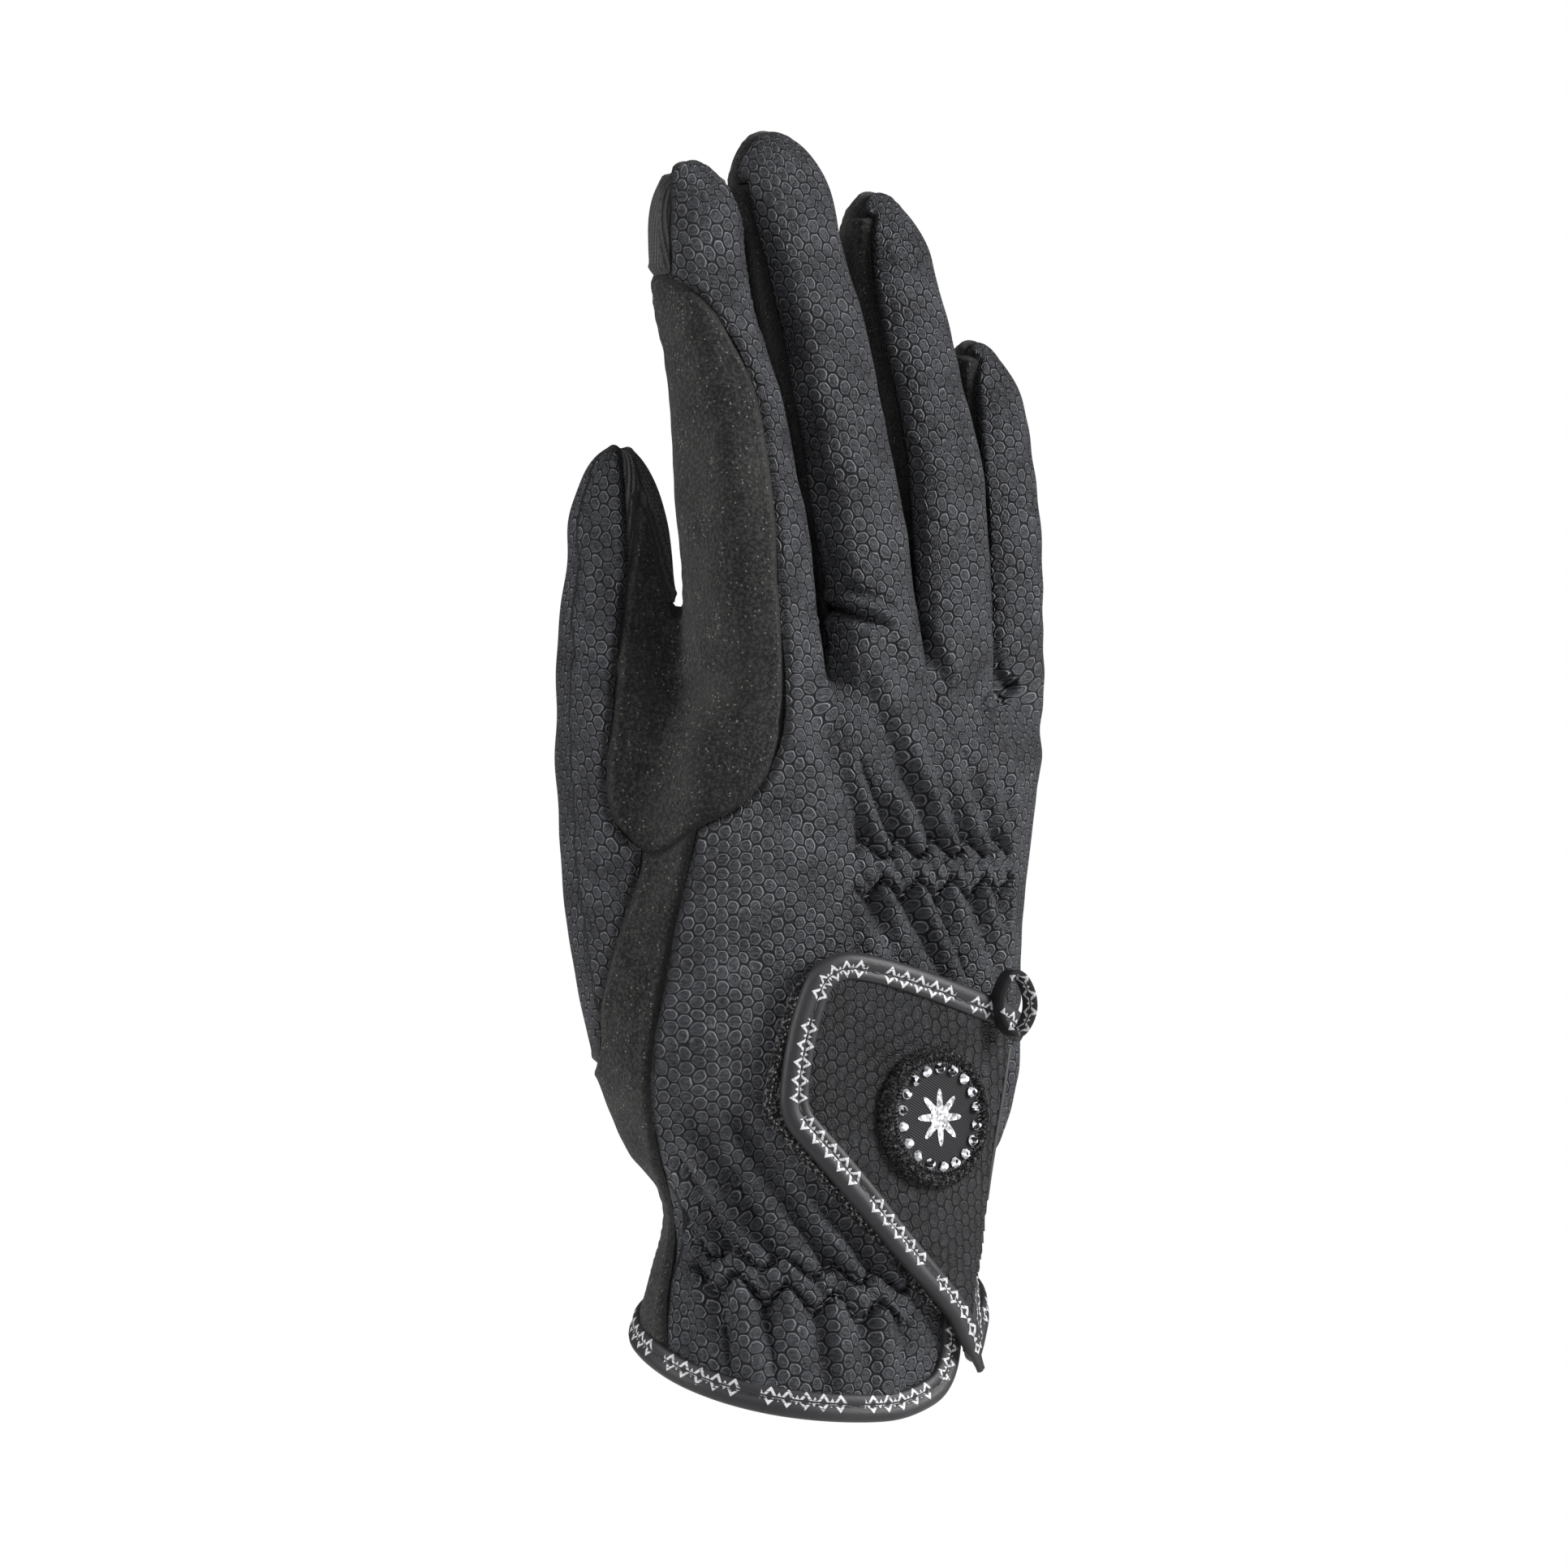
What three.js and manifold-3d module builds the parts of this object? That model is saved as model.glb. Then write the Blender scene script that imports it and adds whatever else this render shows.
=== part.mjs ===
// A right-hand riding glove of embossed leather and suede, in the form that a hand gives it: the
// fingers point up along +Z, the back of the hand looks to -Y and the thumb stands towards -X.
// Units are millimetres, and the origin is the centre of the opening where the hand goes in.
// Each cut panel, tape, tab and stone is a closed solid of its own.

import * as THREE from "three";
import { mergeVertices } from "three/addons/utils/BufferGeometryUtils.js";
import Module from "manifold-3d";

const wasm = await Module();
wasm.setup();

// Leather and suede, and the gap between neighbouring pieces.
const wall = 1.4;
const seam = 0.3;

// The hand part, from the middle of its opening to the knuckles.
const palmHeight = 118;
const palmWidth = 77;
const palmDepth = 30;

// The tube of each finger: how far its tip stands above the knuckles, and its width and depth at
// the root. The thumb's length runs from its root above the wrist.
const indexLength = 91;
const indexWidth = 19.6;
const indexDepth = 21.4;
const middleLength = 97.6;
const middleWidth = 18.6;
const middleDepth = 20.6;
const ringLength = 88;
const ringWidth = 17.8;
const ringDepth = 19.8;
const littleLength = 61.5;
const littleWidth = 15.4;
const littleDepth = 17.2;
const thumbLength = 125;
const thumbWidth = 21;
const thumbDepth = 22;

// Where each finger leaves the hand part: across it, and towards the palm side.
const indexX = -17.6;
const indexY = -7;
const middleX = 3.3;
const middleY = -9;
const ringX = 22.1;
const ringY = -7;
const littleX = 39;
const littleY = -2;
const thumbX = -31;
const thumbY = 14;
const thumbRootHeight = 34;

// The domes that close the hand part, the fingers and the thumb.
const palmDome = 15;
const fingerDome = 13;
const thumbDome = 16;

// Gussets between the fingers: the height of each corner, their width, how much of it lies towards
// the back, how far they reach below the corner, and where they end.
const crotchIndexMiddle = 128;
const crotchMiddleRing = 124;
const crotchRingLittle = 117;
const forkWidth = 8;
const forkBackShare = 0.42;
const forkFootDrop = 5;
const forkEndBelowTip = 7;

// The opening's hem is lower at the back of the hand, and higher on the little finger's side of
// the vent. Tape binds the hem, the vent and the closure tab.
const hemDrop = 3.2;
const hemLean = 0.36;
const hemLittleRise = 11;
const tapeWidth = 4.2;
const tapeThick = 0.8;

// Gathers over elastic: one row across the knuckles and one round the wrist.
const knuckleGatherHeight = 93;
const knuckleGatherPitch = 8.4;
const knuckleGatherDepth = 1.6;
const knuckleGatherReach = 11;
const wristGatherHeight = 17;
const wristGatherPitch = 8.6;
const wristGatherDepth = 1.6;
const wristGatherReach = 11;

// The closure: a tab over a pad of loop tape, and a pull of the same tape at its sewn corner.
const tabWidth = 43.4;
const tabHeight = 76.3;
const tabFoot = -5.8;
const tabCorner = 8;
const tabThick = 1.4;
const padThick = 1.2;
const padShow = 2.4;
const pullWidth = 7.6;
const pullHeight = 11.6;
const pullThick = 1.1;
const pullDepth = 3.4;

// The badge on the tab: a piled rim round a satin disc with a ring of stones.
const badgeDiameter = 24.4;
const badgeRimWidth = 2.3;
const badgeRimThick = 1.8;
const discThick = 0.8;
const stoneCount = 18;
const stoneDiameter = 2;
const stoneHeight = 0.9;
const stoneRingDiameter = 17.2;

// Outlines are drawn on an upright plane that faces this far from -Y towards -X.
const drawTurn = THREE.MathUtils.degToRad(36);
const across = new THREE.Vector3(Math.cos(drawTurn), -Math.sin(drawTurn), 0);
const toward = new THREE.Vector3(-Math.sin(drawTurn), -Math.cos(drawTurn), 0);
const up = new THREE.Vector3(0, 0, 1);
const farOff = 1.8 * palmHeight;

// Sections of the hand part. up is a share of palmHeight, x and wide of palmWidth, y and deep of
// palmDepth, and square is how boxy the section is: 2 is an ellipse.
const palmTable = [
  { up: -0.24, x: 0.0, y: 0.0, wide: 0.88, deep: 1.72, square: 2.2 },
  { up: 0.0, x: -0.005, y: 0.0, wide: 0.86, deep: 1.633, square: 2.2 },
  { up: 0.085, x: 0.01, y: 0.0, wide: 0.82, deep: 1.55, square: 2.2 },
  { up: 0.178, x: 0.034, y: 0.0, wide: 0.776, deep: 1.48, square: 2.2 },
  { up: 0.229, x: 0.034, y: -0.007, wide: 0.83, deep: 1.45, square: 2.2 },
  { up: 0.297, x: 0.024, y: -0.013, wide: 0.945, deep: 1.4, square: 2.2 },
  { up: 0.424, x: 0.045, y: -0.033, wide: 0.99, deep: 1.3, square: 2.3 },
  { up: 0.593, x: 0.05, y: -0.077, wide: 0.99, deep: 1.17, square: 2.3 },
  { up: 0.763, x: 0.066, y: -0.133, wide: 0.99, deep: 1.05, square: 2.4 },
  { up: 0.89, x: 0.078, y: -0.19, wide: 0.985, deep: 0.9, square: 2.5 },
  { up: 1.0, x: 0.085, y: -0.215, wide: 0.96, deep: 0.82, square: 2.6 },
];

// Sections of the fingers. up is a share of the finger's length, x and wide of its width, and y
// and deep of its depth, counted from where it leaves the hand part.
const indexTable = [
  { up: -0.26, x: 0.02, y: 0.14, wide: 0.72, deep: 0.7, square: 2.6 },
  { up: -0.05, x: 0.05, y: 0.03, wide: 1.07, deep: 1.0, square: 2.7 },
  { up: 0.12, x: 0.0, y: 0.0, wide: 1.04, deep: 1.06, square: 2.9 },
  { up: 0.37, x: -0.11, y: 0.07, wide: 0.95, deep: 0.98, square: 3.0 },
  { up: 0.52, x: -0.15, y: 0.165, wide: 0.88, deep: 0.9, square: 2.9 },
  { up: 0.61, x: -0.21, y: 0.235, wide: 0.82, deep: 0.84, square: 2.8 },
  { up: 0.7, x: -0.28, y: 0.33, wide: 0.79, deep: 0.8, square: 2.7 },
  { up: 0.85, x: -0.27, y: 0.49, wide: 0.75, deep: 0.75, square: 2.5 },
  { up: 1.0, x: -0.18, y: 0.68, wide: 0.72, deep: 0.7, square: 2.3 },
];
const middleTable = [
  { up: -0.25, x: 0.03, y: 0.12, wide: 0.72, deep: 0.7, square: 2.6 },
  { up: -0.05, x: 0.06, y: 0.02, wide: 1.1, deep: 1.0, square: 2.7 },
  { up: 0.12, x: 0.0, y: 0.0, wide: 1.0, deep: 1.03, square: 2.9 },
  { up: 0.385, x: -0.19, y: 0.07, wide: 0.95, deep: 0.97, square: 2.9 },
  { up: 0.57, x: -0.29, y: 0.22, wide: 0.93, deep: 0.94, square: 2.8 },
  { up: 0.79, x: -0.42, y: 0.48, wide: 0.91, deep: 0.9, square: 2.7 },
  { up: 0.92, x: -0.42, y: 0.68, wide: 0.88, deep: 0.84, square: 2.5 },
  { up: 1.0, x: -0.38, y: 0.82, wide: 0.84, deep: 0.78, square: 2.3 },
];
const ringTable = [
  { up: -0.25, x: 0.0, y: 0.12, wide: 0.72, deep: 0.7, square: 2.6 },
  { up: -0.03, x: 0.0, y: 0.02, wide: 1.06, deep: 1.0, square: 2.7 },
  { up: 0.1, x: 0.0, y: 0.0, wide: 1.0, deep: 1.02, square: 2.9 },
  { up: 0.375, x: 0.0, y: 0.08, wide: 0.965, deep: 0.97, square: 2.9 },
  { up: 0.48, x: -0.035, y: 0.15, wide: 0.95, deep: 0.95, square: 2.8 },
  { up: 0.68, x: -0.125, y: 0.35, wide: 0.92, deep: 0.92, square: 2.7 },
  { up: 0.83, x: -0.15, y: 0.55, wide: 0.88, deep: 0.86, square: 2.5 },
  { up: 1.0, x: -0.08, y: 0.81, wide: 0.8, deep: 0.76, square: 2.3 },
];
const littleTable = [
  { up: -0.3, x: -0.04, y: 0.12, wide: 0.75, deep: 0.75, square: 2.6 },
  { up: -0.08, x: -0.04, y: 0.02, wide: 1.1, deep: 1.03, square: 2.7 },
  { up: 0.12, x: 0.0, y: 0.0, wide: 1.0, deep: 1.02, square: 2.8 },
  { up: 0.33, x: 0.045, y: 0.03, wide: 0.97, deep: 0.98, square: 2.8 },
  { up: 0.47, x: 0.07, y: 0.09, wide: 0.95, deep: 0.95, square: 2.8 },
  { up: 0.62, x: 0.07, y: 0.175, wide: 0.92, deep: 0.92, square: 2.7 },
  { up: 0.77, x: 0.085, y: 0.29, wide: 0.88, deep: 0.88, square: 2.5 },
  { up: 1.0, x: 0.13, y: 0.5, wide: 0.8, deep: 0.8, square: 2.3 },
];
const thumbTable = [
  { up: -0.06, x: 0.75, y: -0.6, wide: 0.75, deep: 0.7, square: 2.1 },
  { up: 0.0, x: 0.46, y: -0.53, wide: 1.12, deep: 1.0, square: 2.1 },
  { up: 0.08, x: 0.3, y: -0.46, wide: 1.36, deep: 1.24, square: 2.1 },
  { up: 0.2, x: 0.26, y: -0.36, wide: 1.5, deep: 1.4, square: 2.1 },
  { up: 0.33, x: 0.18, y: -0.2, wide: 1.44, deep: 1.36, square: 2.2 },
  { up: 0.46, x: 0.11, y: -0.07, wide: 1.3, deep: 1.24, square: 2.3 },
  { up: 0.6, x: 0.02, y: 0.0, wide: 1.12, deep: 1.1, square: 2.4 },
  { up: 0.73, x: -0.03, y: 0.03, wide: 0.92, deep: 0.94, square: 2.5 },
  { up: 0.84, x: 0.0, y: 0.06, wide: 0.8, deep: 0.84, square: 2.4 },
  { up: 0.93, x: 0.01, y: 0.09, wide: 0.74, deep: 0.76, square: 2.3 },
  { up: 1.0, x: 0.02, y: 0.11, wide: 0.7, deep: 0.7, square: 2.2 },
];

// The leather's edge against the suede on the side of the index finger. up is a share of the
// body's length from its root, and share counts across it as it shows on the drawing plane:
// -1 is its left edge, 0 its middle and 1 its right edge.
const indexSideOnFinger = [
  { up: 0.772, share: -1.6 },
  { up: 0.772, share: -1.02 },
  { up: 0.755, share: -0.49 },
  { up: 0.707, share: 0.18 },
  { up: 0.625, share: 0.54 },
  { up: 0.514, share: 0.64 },
  { up: 0.371, share: 0.66 },
  { up: 0.148, share: 0.5 },
];
const indexSideOnPalm = [
  { up: 0.98, share: -0.42 },
  { up: 0.882, share: -0.43 },
  { up: 0.813, share: -0.56 },
  { up: 0.776, share: -0.79 },
  { up: 0.735, share: -1.04 },
  { up: 0.79, share: -1.3 },
  { up: 0.98, share: -1.4 },
];

// The suede gusset from the thumb's corner to the hem, and the vent, as shares of the hand part.
const gussetTable = [
  { up: 0.79, left: -1.08, right: -0.85 },
  { up: 0.696, left: -1.11, right: -0.84 },
  { up: 0.612, left: -1.18, right: -0.875 },
  { up: 0.514, left: -1.24, right: -0.92 },
  { up: 0.404, left: -1.27, right: -0.94 },
  { up: 0.306, left: -1.5, right: -0.905 },
  { up: 0.171, left: -1.6, right: -0.95 },
  { up: 0.073, left: -1.6, right: -0.89 },
  { up: -0.14, left: -1.6, right: -0.9 },
];
const ventTable = [
  { up: 0.24, left: 0.85, right: 0.87 },
  { up: 0.12, left: 0.87, right: 0.92 },
  { up: 0.0, left: 0.865, right: 0.94 },
  { up: -0.03, left: 0.85, right: 0.94 },
  { up: -0.055, left: 0.82, right: 0.95 },
  { up: -0.08, left: 0.76, right: 0.96 },
  { up: -0.1, left: 0.58, right: 0.97 },
  { up: -0.17, left: 0.5, right: 0.99 },
];

// The edge between the thumb's leather and the suede and mesh on its inner side.
const thumbInsideTable = [
  { up: 1.1, share: 0.1 },
  { up: 1.0, share: 0.1 },
  { up: 0.94, share: 0.24 },
  { up: 0.65, share: 0.24 },
  { up: 0.52, share: 0.22 },
  { up: 0.4, share: 0.16 },
  { up: 0.4, share: 2.2 },
  { up: 1.1, share: 3.2 },
];
const tipMeshUp = 0.774;
const tipMeshShare = -0.68;
const thumbMeshUp = 0.776;

// Corners of the tab, from its sewn corner at the little finger's side: across is a share of
// tabWidth and up a share of tabHeight from its foot. Its binding runs on into a short tail.
const tabTable = [
  { across: 0.0, up: 0.822, round: 0 },
  { across: -0.36, up: 0.936, round: 0.6 },
  { across: -0.862, up: 1.004, round: 1 },
  { across: -1.006, up: 0.62, round: 1.2 },
];
const tabTailTable = [
  { across: -0.35, up: 0.185, round: 0 },
  { across: -0.25, up: 0.085, round: 0 },
  { across: -0.215, up: 0.0, round: 0 },
  { across: -0.185, up: 0.012, round: 0 },
  { across: -0.165, up: 0.1, round: 0 },
];
const tabFootCorner = { across: -0.165, up: 0.06, round: 0 };
const tabSideTable = [
  { across: -0.165, up: 0.2, round: 0 },
  { across: -0.14, up: 0.42, round: 0 },
  { across: -0.07, up: 0.65, round: 0 },
];
const tabSewnShare = 1.0;
const padRightShare = 0.42;
const badgeTabAcross = -0.335;
const badgeTabUp = 0.602;

// A smooth curve through one column of a table.
function along(rows, column, at) {
  const last = rows.length - 1;
  let i = 0;
  while (i < last - 1 && rows[i + 1].z <= at) i += 1;
  const slope = (k) => {
    const a = rows[Math.max(k - 1, 0)];
    const b = rows[Math.min(k + 1, last)];
    return (b[column] - a[column]) / (b.z - a.z);
  };
  const step = rows[i + 1].z - rows[i].z;
  const t = THREE.MathUtils.clamp((at - rows[i].z) / step, 0, 1);
  const ends = (1 + 2 * t) * (1 - t) ** 2 * rows[i][column] + t * t * (3 - 2 * t) * rows[i + 1][column];
  return ends + step * (t * (1 - t) ** 2 * slope(i) + t * t * (t - 1) * slope(i + 1));
}

// A table in shares becomes a body with rows in millimetres. Its end is a dome.
function bodyOf(table, { foot, length, x, y, width, depth, dome }) {
  const rows = table.map((row) => ({
    z: foot + row.up * length,
    x: x + row.x * width,
    y: y + row.y * depth,
    a: (row.wide * width) / 2,
    b: (row.deep * depth) / 2,
    square: row.square,
  }));
  return { rows, foot, length, low: rows[0].z, top: foot + length, dome };
}

const finger = (table, length, x, y, width, depth) =>
  bodyOf(table, { foot: palmHeight, length, x, y, width, depth, dome: fingerDome });
const palmPlace = { foot: 0, length: palmHeight, x: 0, y: 0 };
const palm = bodyOf(palmTable, { ...palmPlace, width: palmWidth, depth: palmDepth, dome: palmDome });
const index = finger(indexTable, indexLength, indexX, indexY, indexWidth, indexDepth);
const middle = finger(middleTable, middleLength, middleX, middleY, middleWidth, middleDepth);
const ring = finger(ringTable, ringLength, ringX, ringY, ringWidth, ringDepth);
const little = finger(littleTable, littleLength, littleX, littleY, littleWidth, littleDepth);
const fingers = [index, middle, ring, little];
const thumbPlace = { foot: thumbRootHeight, length: thumbLength, x: thumbX, y: thumbY };
const thumb = bodyOf(thumbTable, { ...thumbPlace, width: thumbWidth, depth: thumbDepth, dome: thumbDome });

// The section of a body at a height, with its wall moved out by `grow`.
function sectionAt(body, z, grow) {
  const top = body.top + grow;
  const intoDome = THREE.MathUtils.clamp((z - (top - body.dome)) / body.dome, 0, 1);
  const shrink = Math.sqrt(1 - intoDome * intoDome);
  return {
    x: along(body.rows, "x", z),
    y: along(body.rows, "y", z),
    a: (along(body.rows, "a", z) + grow) * shrink,
    b: (along(body.rows, "b", z) + grow) * shrink,
    square: along(body.rows, "square", z),
  };
}

// A point of a section, in the direction of an angle; -90 degrees looks to the back of the hand.
function rimPoint(section, angle) {
  const c = Math.cos(angle);
  const s = Math.sin(angle);
  const n = section.square;
  const reach = (Math.abs(c) ** n + Math.abs(s) ** n) ** (-1 / n);
  return [section.x + section.a * reach * c, section.y + section.b * reach * s];
}

// How deep a point lies in a body grown by `grow`: under 1 is inside.
function depthIn(body, point, grow) {
  const section = sectionAt(body, point.z, grow);
  const n = section.square;
  const dx = Math.abs((point.x - section.x) / section.a) ** n;
  const dy = Math.abs((point.y - section.y) / section.b) ** n;
  return (dx + dy) ** (1 / n);
}

// A place on the drawing plane: a share across a body, as it shows there, at a height.
function placeOn(body, share, z) {
  const x = along(body.rows, "x", z);
  const y = along(body.rows, "y", z);
  const half = Math.hypot(along(body.rows, "a", z) * across.x, along(body.rows, "b", z) * across.y);
  return [x * across.x + y * across.y + share * half, z];
}
const placesOn = (body, rows) =>
  rows.map((row) => placeOn(body, row.share, body.foot + row.up * body.length));

const smooth = (low, high, value) => THREE.MathUtils.smoothstep(value, low, high);

// Puckers of the leather over an elastic: soft ribs side by side, deepest next to the elastic.
function pucker(place, off, pitch, depth, reach) {
  const rib = 0.5 + 0.5 * Math.cos((2 * Math.PI * place) / pitch);
  return depth * Math.exp(-((off / reach) ** 2)) * rib;
}

// The gathers on the back of the hand, as an outward push of the leather.
function gathers(x, y, z) {
  const seen = x * across.x + y * across.y;
  const back = smooth(0.1 * palmDepth, 0.35 * palmDepth, -y);
  const offKnuckles = z - knuckleGatherHeight;
  const offWrist = z + 0.14 * seen - wristGatherHeight;
  const slant = 0.35 * offKnuckles;
  const knuckles = pucker(x + slant, offKnuckles, knuckleGatherPitch, knuckleGatherDepth, knuckleGatherReach);
  const wrist = pucker(x, offWrist, wristGatherPitch, wristGatherDepth, wristGatherReach);
  const overKnuckles = smooth(-0.02 * palmWidth, 0.1 * palmWidth, seen);
  const besideLittle = 1 - smooth(0.42 * palmWidth, 0.5 * palmWidth, seen);
  const besideTab = 1 - smooth(0.05 * palmWidth, 0.13 * palmWidth, seen + 0.85 * offWrist);
  const besideGusset = smooth(-0.35 * palmWidth, -0.27 * palmWidth, seen);
  return back * (knuckles * overKnuckles * besideLittle + wrist * besideTab * besideGusset);
}

// A closed skin of stacked sections: heights lists the rows, and angles the points of a row.
function skin(body, { grow = 0, heights, angles, relief = null }) {
  const points = [];
  for (const z of heights) {
    const section = sectionAt(body, z, grow);
    for (const angle of angles) {
      const [x, y] = rimPoint(section, angle);
      const push = relief ? relief(x, y, z) : 0;
      points.push(x + push * Math.cos(angle), y + push * Math.sin(angle), z);
    }
  }
  const n = angles.length;
  const last = heights.length - 1;
  const foot = sectionAt(body, heights[0], grow);
  const end = sectionAt(body, heights[last], grow);
  points.push(foot.x, foot.y, heights[0], end.x, end.y, heights[last]);
  const faces = [];
  for (let j = 0; j < last; j += 1)
    for (let i = 0; i < n; i += 1) {
      const a = j * n + i;
      const b = j * n + ((i + 1) % n);
      faces.push(a, b, b + n, a, b + n, a + n);
    }
  const footCentre = (last + 1) * n;
  for (let i = 0; i < n; i += 1) {
    const next = (i + 1) % n;
    faces.push(footCentre, next, i, footCentre + 1, last * n + i, last * n + next);
  }
  return new THREE.BufferGeometry()
    .setAttribute("position", new THREE.Float32BufferAttribute(points, 3))
    .setIndex(faces);
}

// The heights of a body's table rows, with more between them where `stepAt` asks for it, and the
// rows of its dome.
function heightsOf(body, grow, domeRows, stepAt = () => 40) {
  const domeFoot = body.top + grow - body.dome;
  const knots = [...body.rows.map((row) => row.z).filter((z) => z < domeFoot - 2), domeFoot];
  const heights = [];
  for (let k = 0; k < knots.length - 1; k += 1) {
    const gap = knots[k + 1] - knots[k];
    const parts = Math.max(1, Math.round(gap / stepAt((knots[k] + knots[k + 1]) / 2)));
    for (let j = 0; j < parts; j += 1) heights.push(knots[k] + (gap * j) / parts);
  }
  for (let j = 0; j <= domeRows; j += 1)
    heights.push(domeFoot + body.dome * 0.995 * Math.sin((0.5 * Math.PI * j) / domeRows));
  return heights;
}

const turnOf = (count) => Array.from({ length: count }, (_, i) => (2 * Math.PI * i) / count);

// Closed meshes become solids that can be cut, and come back as meshes.
function solid(geometry) {
  const bare = geometry.index ? geometry.toNonIndexed() : geometry.clone();
  bare.deleteAttribute("normal");
  bare.deleteAttribute("uv");
  const merged = mergeVertices(bare, 1e-4);
  return new wasm.Manifold(
    new wasm.Mesh({
      numProp: 3,
      vertProperties: merged.attributes.position.array,
      triVerts: new Uint32Array(merged.index.array),
    }),
  );
}

function geometryOf(made) {
  const mesh = made.getMesh();
  return new THREE.BufferGeometry()
    .setAttribute("position", new THREE.BufferAttribute(new Float32Array(mesh.vertProperties), 3))
    .setIndex(new THREE.BufferAttribute(new Uint32Array(mesh.triVerts), 1));
}

const largest = (made) => made.decompose().reduce((a, b) => (a.volume() > b.volume() ? a : b));
const joined = (solids) => solids.reduce((a, b) => a.add(b));

// Everything between two sheets over x and z. A bound is a number or a function of x and z.
const wholePart = { xLow: -farOff, xHigh: farOff, zLow: -0.5 * farOff, zHigh: 1.2 * farOff, cellsX: 14, cellsZ: 10 };
function between(yLow, yHigh, limits = wholePart) {
  const { xLow, xHigh, zLow, zHigh, cellsX, cellsZ } = limits;
  const box = new THREE.BoxGeometry(1, 1, 1, cellsX, 1, cellsZ);
  const place = box.attributes.position;
  const bound = (value, x, z) => (typeof value === "function" ? value(x, z) : value);
  for (let i = 0; i < place.count; i += 1) {
    const shareX = place.getX(i) + 0.5;
    const z = THREE.MathUtils.lerp(zLow, bound(zHigh, shareX, 0), place.getZ(i) + 0.5);
    const x = THREE.MathUtils.lerp(bound(xLow, 0, z), bound(xHigh, 0, z), shareX);
    place.setXYZ(i, x, bound(place.getY(i) < 0 ? yLow : yHigh, x, z), z);
  }
  return solid(box);
}

// An outline on the drawing plane, as a list of [across, up], pushed out by a distance.
function offsetOutline(points, distance) {
  const n = points.length;
  const area = points.reduce((sum, [x, y], i) => {
    const [nextX, nextY] = points[(i + 1) % n];
    return sum + x * nextY - nextX * y;
  }, 0);
  const side = Math.sign(area) * distance;
  const normal = (a, b) => {
    const length = Math.hypot(b[0] - a[0], b[1] - a[1]);
    return [(b[1] - a[1]) / length, -(b[0] - a[0]) / length];
  };
  return points.map((point, i) => {
    const before = normal(points[(i + n - 1) % n], point);
    const after = normal(point, points[(i + 1) % n]);
    const bend = 1 + before[0] * after[0] + before[1] * after[1];
    const reach = side / Math.max(bend, 0.15);
    return [point[0] + (before[0] + after[0]) * reach, point[1] + (before[1] + after[1]) * reach];
  });
}

// Rounds the corners of an outline: each corner is [across, up, radius].
function rounded(corners, steps = 4) {
  const n = corners.length;
  return corners.flatMap(([x, y, radius], i) => {
    if (!radius) return [[x, y]];
    const towards = ([otherX, otherY]) => {
      const share = Math.min(radius / Math.hypot(otherX - x, otherY - y), 0.45);
      return new THREE.Vector2(x + (otherX - x) * share, y + (otherY - y) * share);
    };
    const start = towards(corners[(i + n - 1) % n]);
    const end = towards(corners[(i + 1) % n]);
    const curve = new THREE.QuadraticBezierCurve(start, new THREE.Vector2(x, y), end);
    return curve.getPoints(steps).map((p) => [p.x, p.y]);
  });
}

// A smooth closed outline through points.
function flowing(points, count) {
  const knots = points.map(([x, y]) => new THREE.Vector3(x, y, 0));
  const curve = new THREE.CatmullRomCurve3(knots, true, "centripetal");
  return curve.getSpacedPoints(count).slice(0, count).map((p) => [p.x, p.y]);
}

// A prism square to the drawing plane, from `near` towards its front to `far` behind it.
function prism(outline, near = farOff, far = farOff) {
  const shape = new THREE.Shape(outline.map(([x, y]) => new THREE.Vector2(x, y)));
  const geometry = new THREE.ExtrudeGeometry(shape, { depth: near + far, bevelEnabled: false });
  geometry.translate(0, 0, -far);
  geometry.applyMatrix4(new THREE.Matrix4().makeBasis(across, up, toward));
  return solid(geometry);
}
const slab = (left, right, low, high, near = farOff, far = farOff) =>
  prism([[left, low], [right, low], [right, high], [left, high]], near, far);
const frontOf = (depth) => slab(-farOff, farOff, -farOff, 2 * farOff, farOff, depth);
const aboveUp = (height) => slab(-farOff, farOff, height, 2 * farOff);

// The hem, and everything from `rise` above it.
function hemHeight(x, y) {
  const little = smooth(0.2 * palmWidth, 0.36 * palmWidth, x);
  return hemLean * y - hemDrop + hemLittleRise * little;
}
function aboveHem(rise) {
  const box = new THREE.BoxGeometry(2 * palmWidth, 2 * palmWidth, 1, 24, 1, 1);
  const place = box.attributes.position;
  for (let i = 0; i < place.count; i += 1) {
    const low = hemHeight(place.getX(i), place.getY(i)) + rise;
    place.setZ(i, place.getZ(i) < 0 ? low : 2 * farOff);
  }
  return solid(box);
}

// Skins of the hand part, the fingers and the thumb, outside and inside.
function gatherStep(z) {
  const offGather = Math.min(Math.abs(z - wristGatherHeight), Math.abs(z - knuckleGatherHeight));
  return offGather < 1.2 * knuckleGatherReach ? 0.5 * knuckleGatherReach : 24;
}
const palmHeights = heightsOf(palm, 0, 3, gatherStep);
const palmAngles = [
  ...Array.from({ length: 28 }, (_, i) => -Math.PI + (Math.PI * i) / 28),
  ...Array.from({ length: 8 }, (_, i) => (Math.PI * i) / 8),
];
const palmSkin = (grow) => solid(skin(palm, { grow, heights: palmHeights, angles: palmAngles, relief: gathers }));
const outerOf = (body, sides) => solid(skin(body, { heights: heightsOf(body, 0, 3), angles: turnOf(sides) }));
const hollowOf = (body, sides) =>
  solid(skin(body, { grow: -wall, heights: heightsOf(body, -wall, 2), angles: turnOf(sides) }));

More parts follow.
